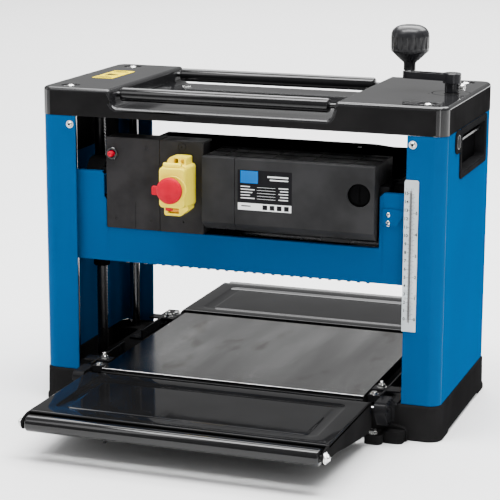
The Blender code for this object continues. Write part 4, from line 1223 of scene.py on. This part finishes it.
def end_roller(label, centre):
    """The roller at a table's free end, with the nuts on its axle."""
    radius, reach, stop = 9.7, 176, 181
    bend, rim = radius - 2.6, radius - 3
    profile = [(-stop, 0), (-stop, 3), (-reach - 0.4, 3), (-reach - 0.4, radius - 3.4), (-reach, rim)]
    profile += arc((-reach + 2.6, bend), 2.6, 180, 90, 6) + arc((reach - 2.6, bend), 2.6, 90, 0, 6)
    profile += [(reach, rim), (reach + 0.4, radius - 3.4), (reach + 0.4, 3), (stop, 3), (stop, 0)]
    body = f"{label}_end"
    roller = turned(f"{label}_roller_tube", profile, "x", centre, 48)
    place(roller, "roller_black", body, f"{label}_end_roller")
    nuts = []
    for side, facing in ((-1, "-x"), (1, "+x")):
        where = (side * 181.3, *centre)
        nuts += hex_bolt(where, facing, 9.4, 3.2)
        dome = ((0, 0), (0, 3.7), (3.2, 3.7), (4.4, 3.4), (5.4, 2.2), (5.7, 0))
        nuts.append(aim(turned("dome", dome, "z", (0, 0), 24), where, facing))
    group(f"{label}_roller_nuts", nuts, "zinc", body)


# ---------------------------------------------------------------- the rest of the machine


def inner_pieces():
    """Gives the CAD nodes that still show their finish and small round edges."""
    slots = {part["node"]: part["material_slot"] for part in frame["record"]["subparts"]}
    looks = {
        "drive_chain": "dark_steel", "cutterhead": "turned_aluminium", "cutterhead_pulley": "turned_aluminium",
        "knife_a": "knife_steel", "knife_b": "knife_steel",
    }
    # The guide posts take the darkened chrome, as painted shade.
    looks.update({f"guide_post_{end}_{side}": "post_chrome_painted_shade" for _, end in ENDS for _, side in SIDES})
    for name, node in frame["nodes"].items():
        if node.hide_render:
            continue
        look = looks.get(name, slots[name])
        node.data.materials.clear()
        node.data.materials.append(LOOKS[look][0])
        weld = node.modifiers.new("weld", "WELD")
        weld.merge_threshold = 0.004 * MM
        soften(node, 0.35, 2, 38)
        for face in node.data.polygons:
            face.use_smooth = True


# ---------------------------------------------------------------- studio


def area_light(name, where, target, size, power):
    light = bpy.data.lights.new(name, "AREA")
    light.shape = "RECTANGLE"
    light.size, light.size_y = size
    light.energy = power
    obj = bpy.data.objects.new(name, light)
    obj.location = where
    obj.rotation_euler = (Vector(target) - Vector(where)).to_track_quat("-Z", "Y").to_euler()
    obj.visible_camera = False
    bpy.context.scene.collection.objects.link(obj)


def studio():
    """A pale floor, a soft surround, and six lights: overhead, key, rim, edge and a strip on each side."""
    shape = bmesh.new()
    bmesh.ops.create_grid(shape, x_segments=1, y_segments=1, size=30)
    floor = from_bmesh("floor", shape)
    material, tree, shader = principled("pale_floor", (0.9, 0.9, 0.9), 0.7, specular=0.1)
    vary_colour(tree, shader, noise(tree, 3), (0.895, 0.895, 0.895), (0.905, 0.905, 0.905))
    floor.data.materials.append(material)

    world = bpy.data.worlds.new("studio")
    bpy.context.scene.world = world
    world.use_nodes = True
    tree = world.node_tree
    light = tree.nodes["Background"]
    where = tree.nodes.new("ShaderNodeTexCoord")
    split = tree.nodes.new("ShaderNodeSeparateXYZ")
    tree.links.new(where.outputs["Generated"], split.inputs["Vector"])
    sky = ramp(tree, split.outputs["Z"], ((0.0, 0.42), (0.2, 0.42), (0.5, 0.5), (1.0, 0.9)))
    tree.links.new(sky, light.inputs["Color"])
    light.inputs["Strength"].default_value = 0.8

    middle = (0, 0, 0.2)
    area_light("overhead", (0.0, 4.0, 4.2), (0, 4.0, 0), (7.0, 6.0), 980)
    area_light("key", (-1.7, -2.2, 2.5), middle, (1.0, 1.6), 18)
    area_light("rim", (0.1, -0.4, 2.3), middle, (2.4, 0.9), 140)
    area_light("edge", (0.4, 1.6, 2.2), middle, (2.4, 0.4), 22)
    area_light("strip_right", (0.98, -1.09, 0.6), (0, 0, 0.6), (0.14, 1.2), 3.2)
    area_light("strip_left", (-1.45, -0.27, 0.6), (0, 0, 0.6), (0.14, 1.2), 3.2)


def camera():
    lens = bpy.data.cameras.new("camera")
    lens.lens = 130.8
    lens.sensor_width = 36
    obj = bpy.data.objects.new("camera", lens)
    bpy.context.scene.collection.objects.link(obj)
    obj.location = (0.7216, -2.1285, 0.7010)
    yaw, pitch, roll = (math.radians(a) for a in (19.33, 12.87, 0.24))
    turn = Matrix.Rotation(yaw, 3, "Z") @ Matrix.Rotation(math.pi / 2 - pitch, 3, "X")
    obj.rotation_euler = (turn @ Matrix.Rotation(roll, 3, "Z")).to_euler()
    bpy.context.scene.camera = obj


def main():
    make_looks()
    top_cover()
    return_rollers()
    for side, label in SIDES:
        column(side, label)
        carry_handle(side, label)
    height_scale()
    base()
    bed()
    table_brackets()
    lead_screws()
    crank()
    lead_nuts()
    front_panel()
    pointer()
    switch_panel()
    motor_cover()
    head_cover()
    switch()
    dust_chute()
    end_covers()
    tables()
    inner_pieces()
    studio()
    camera()


main()
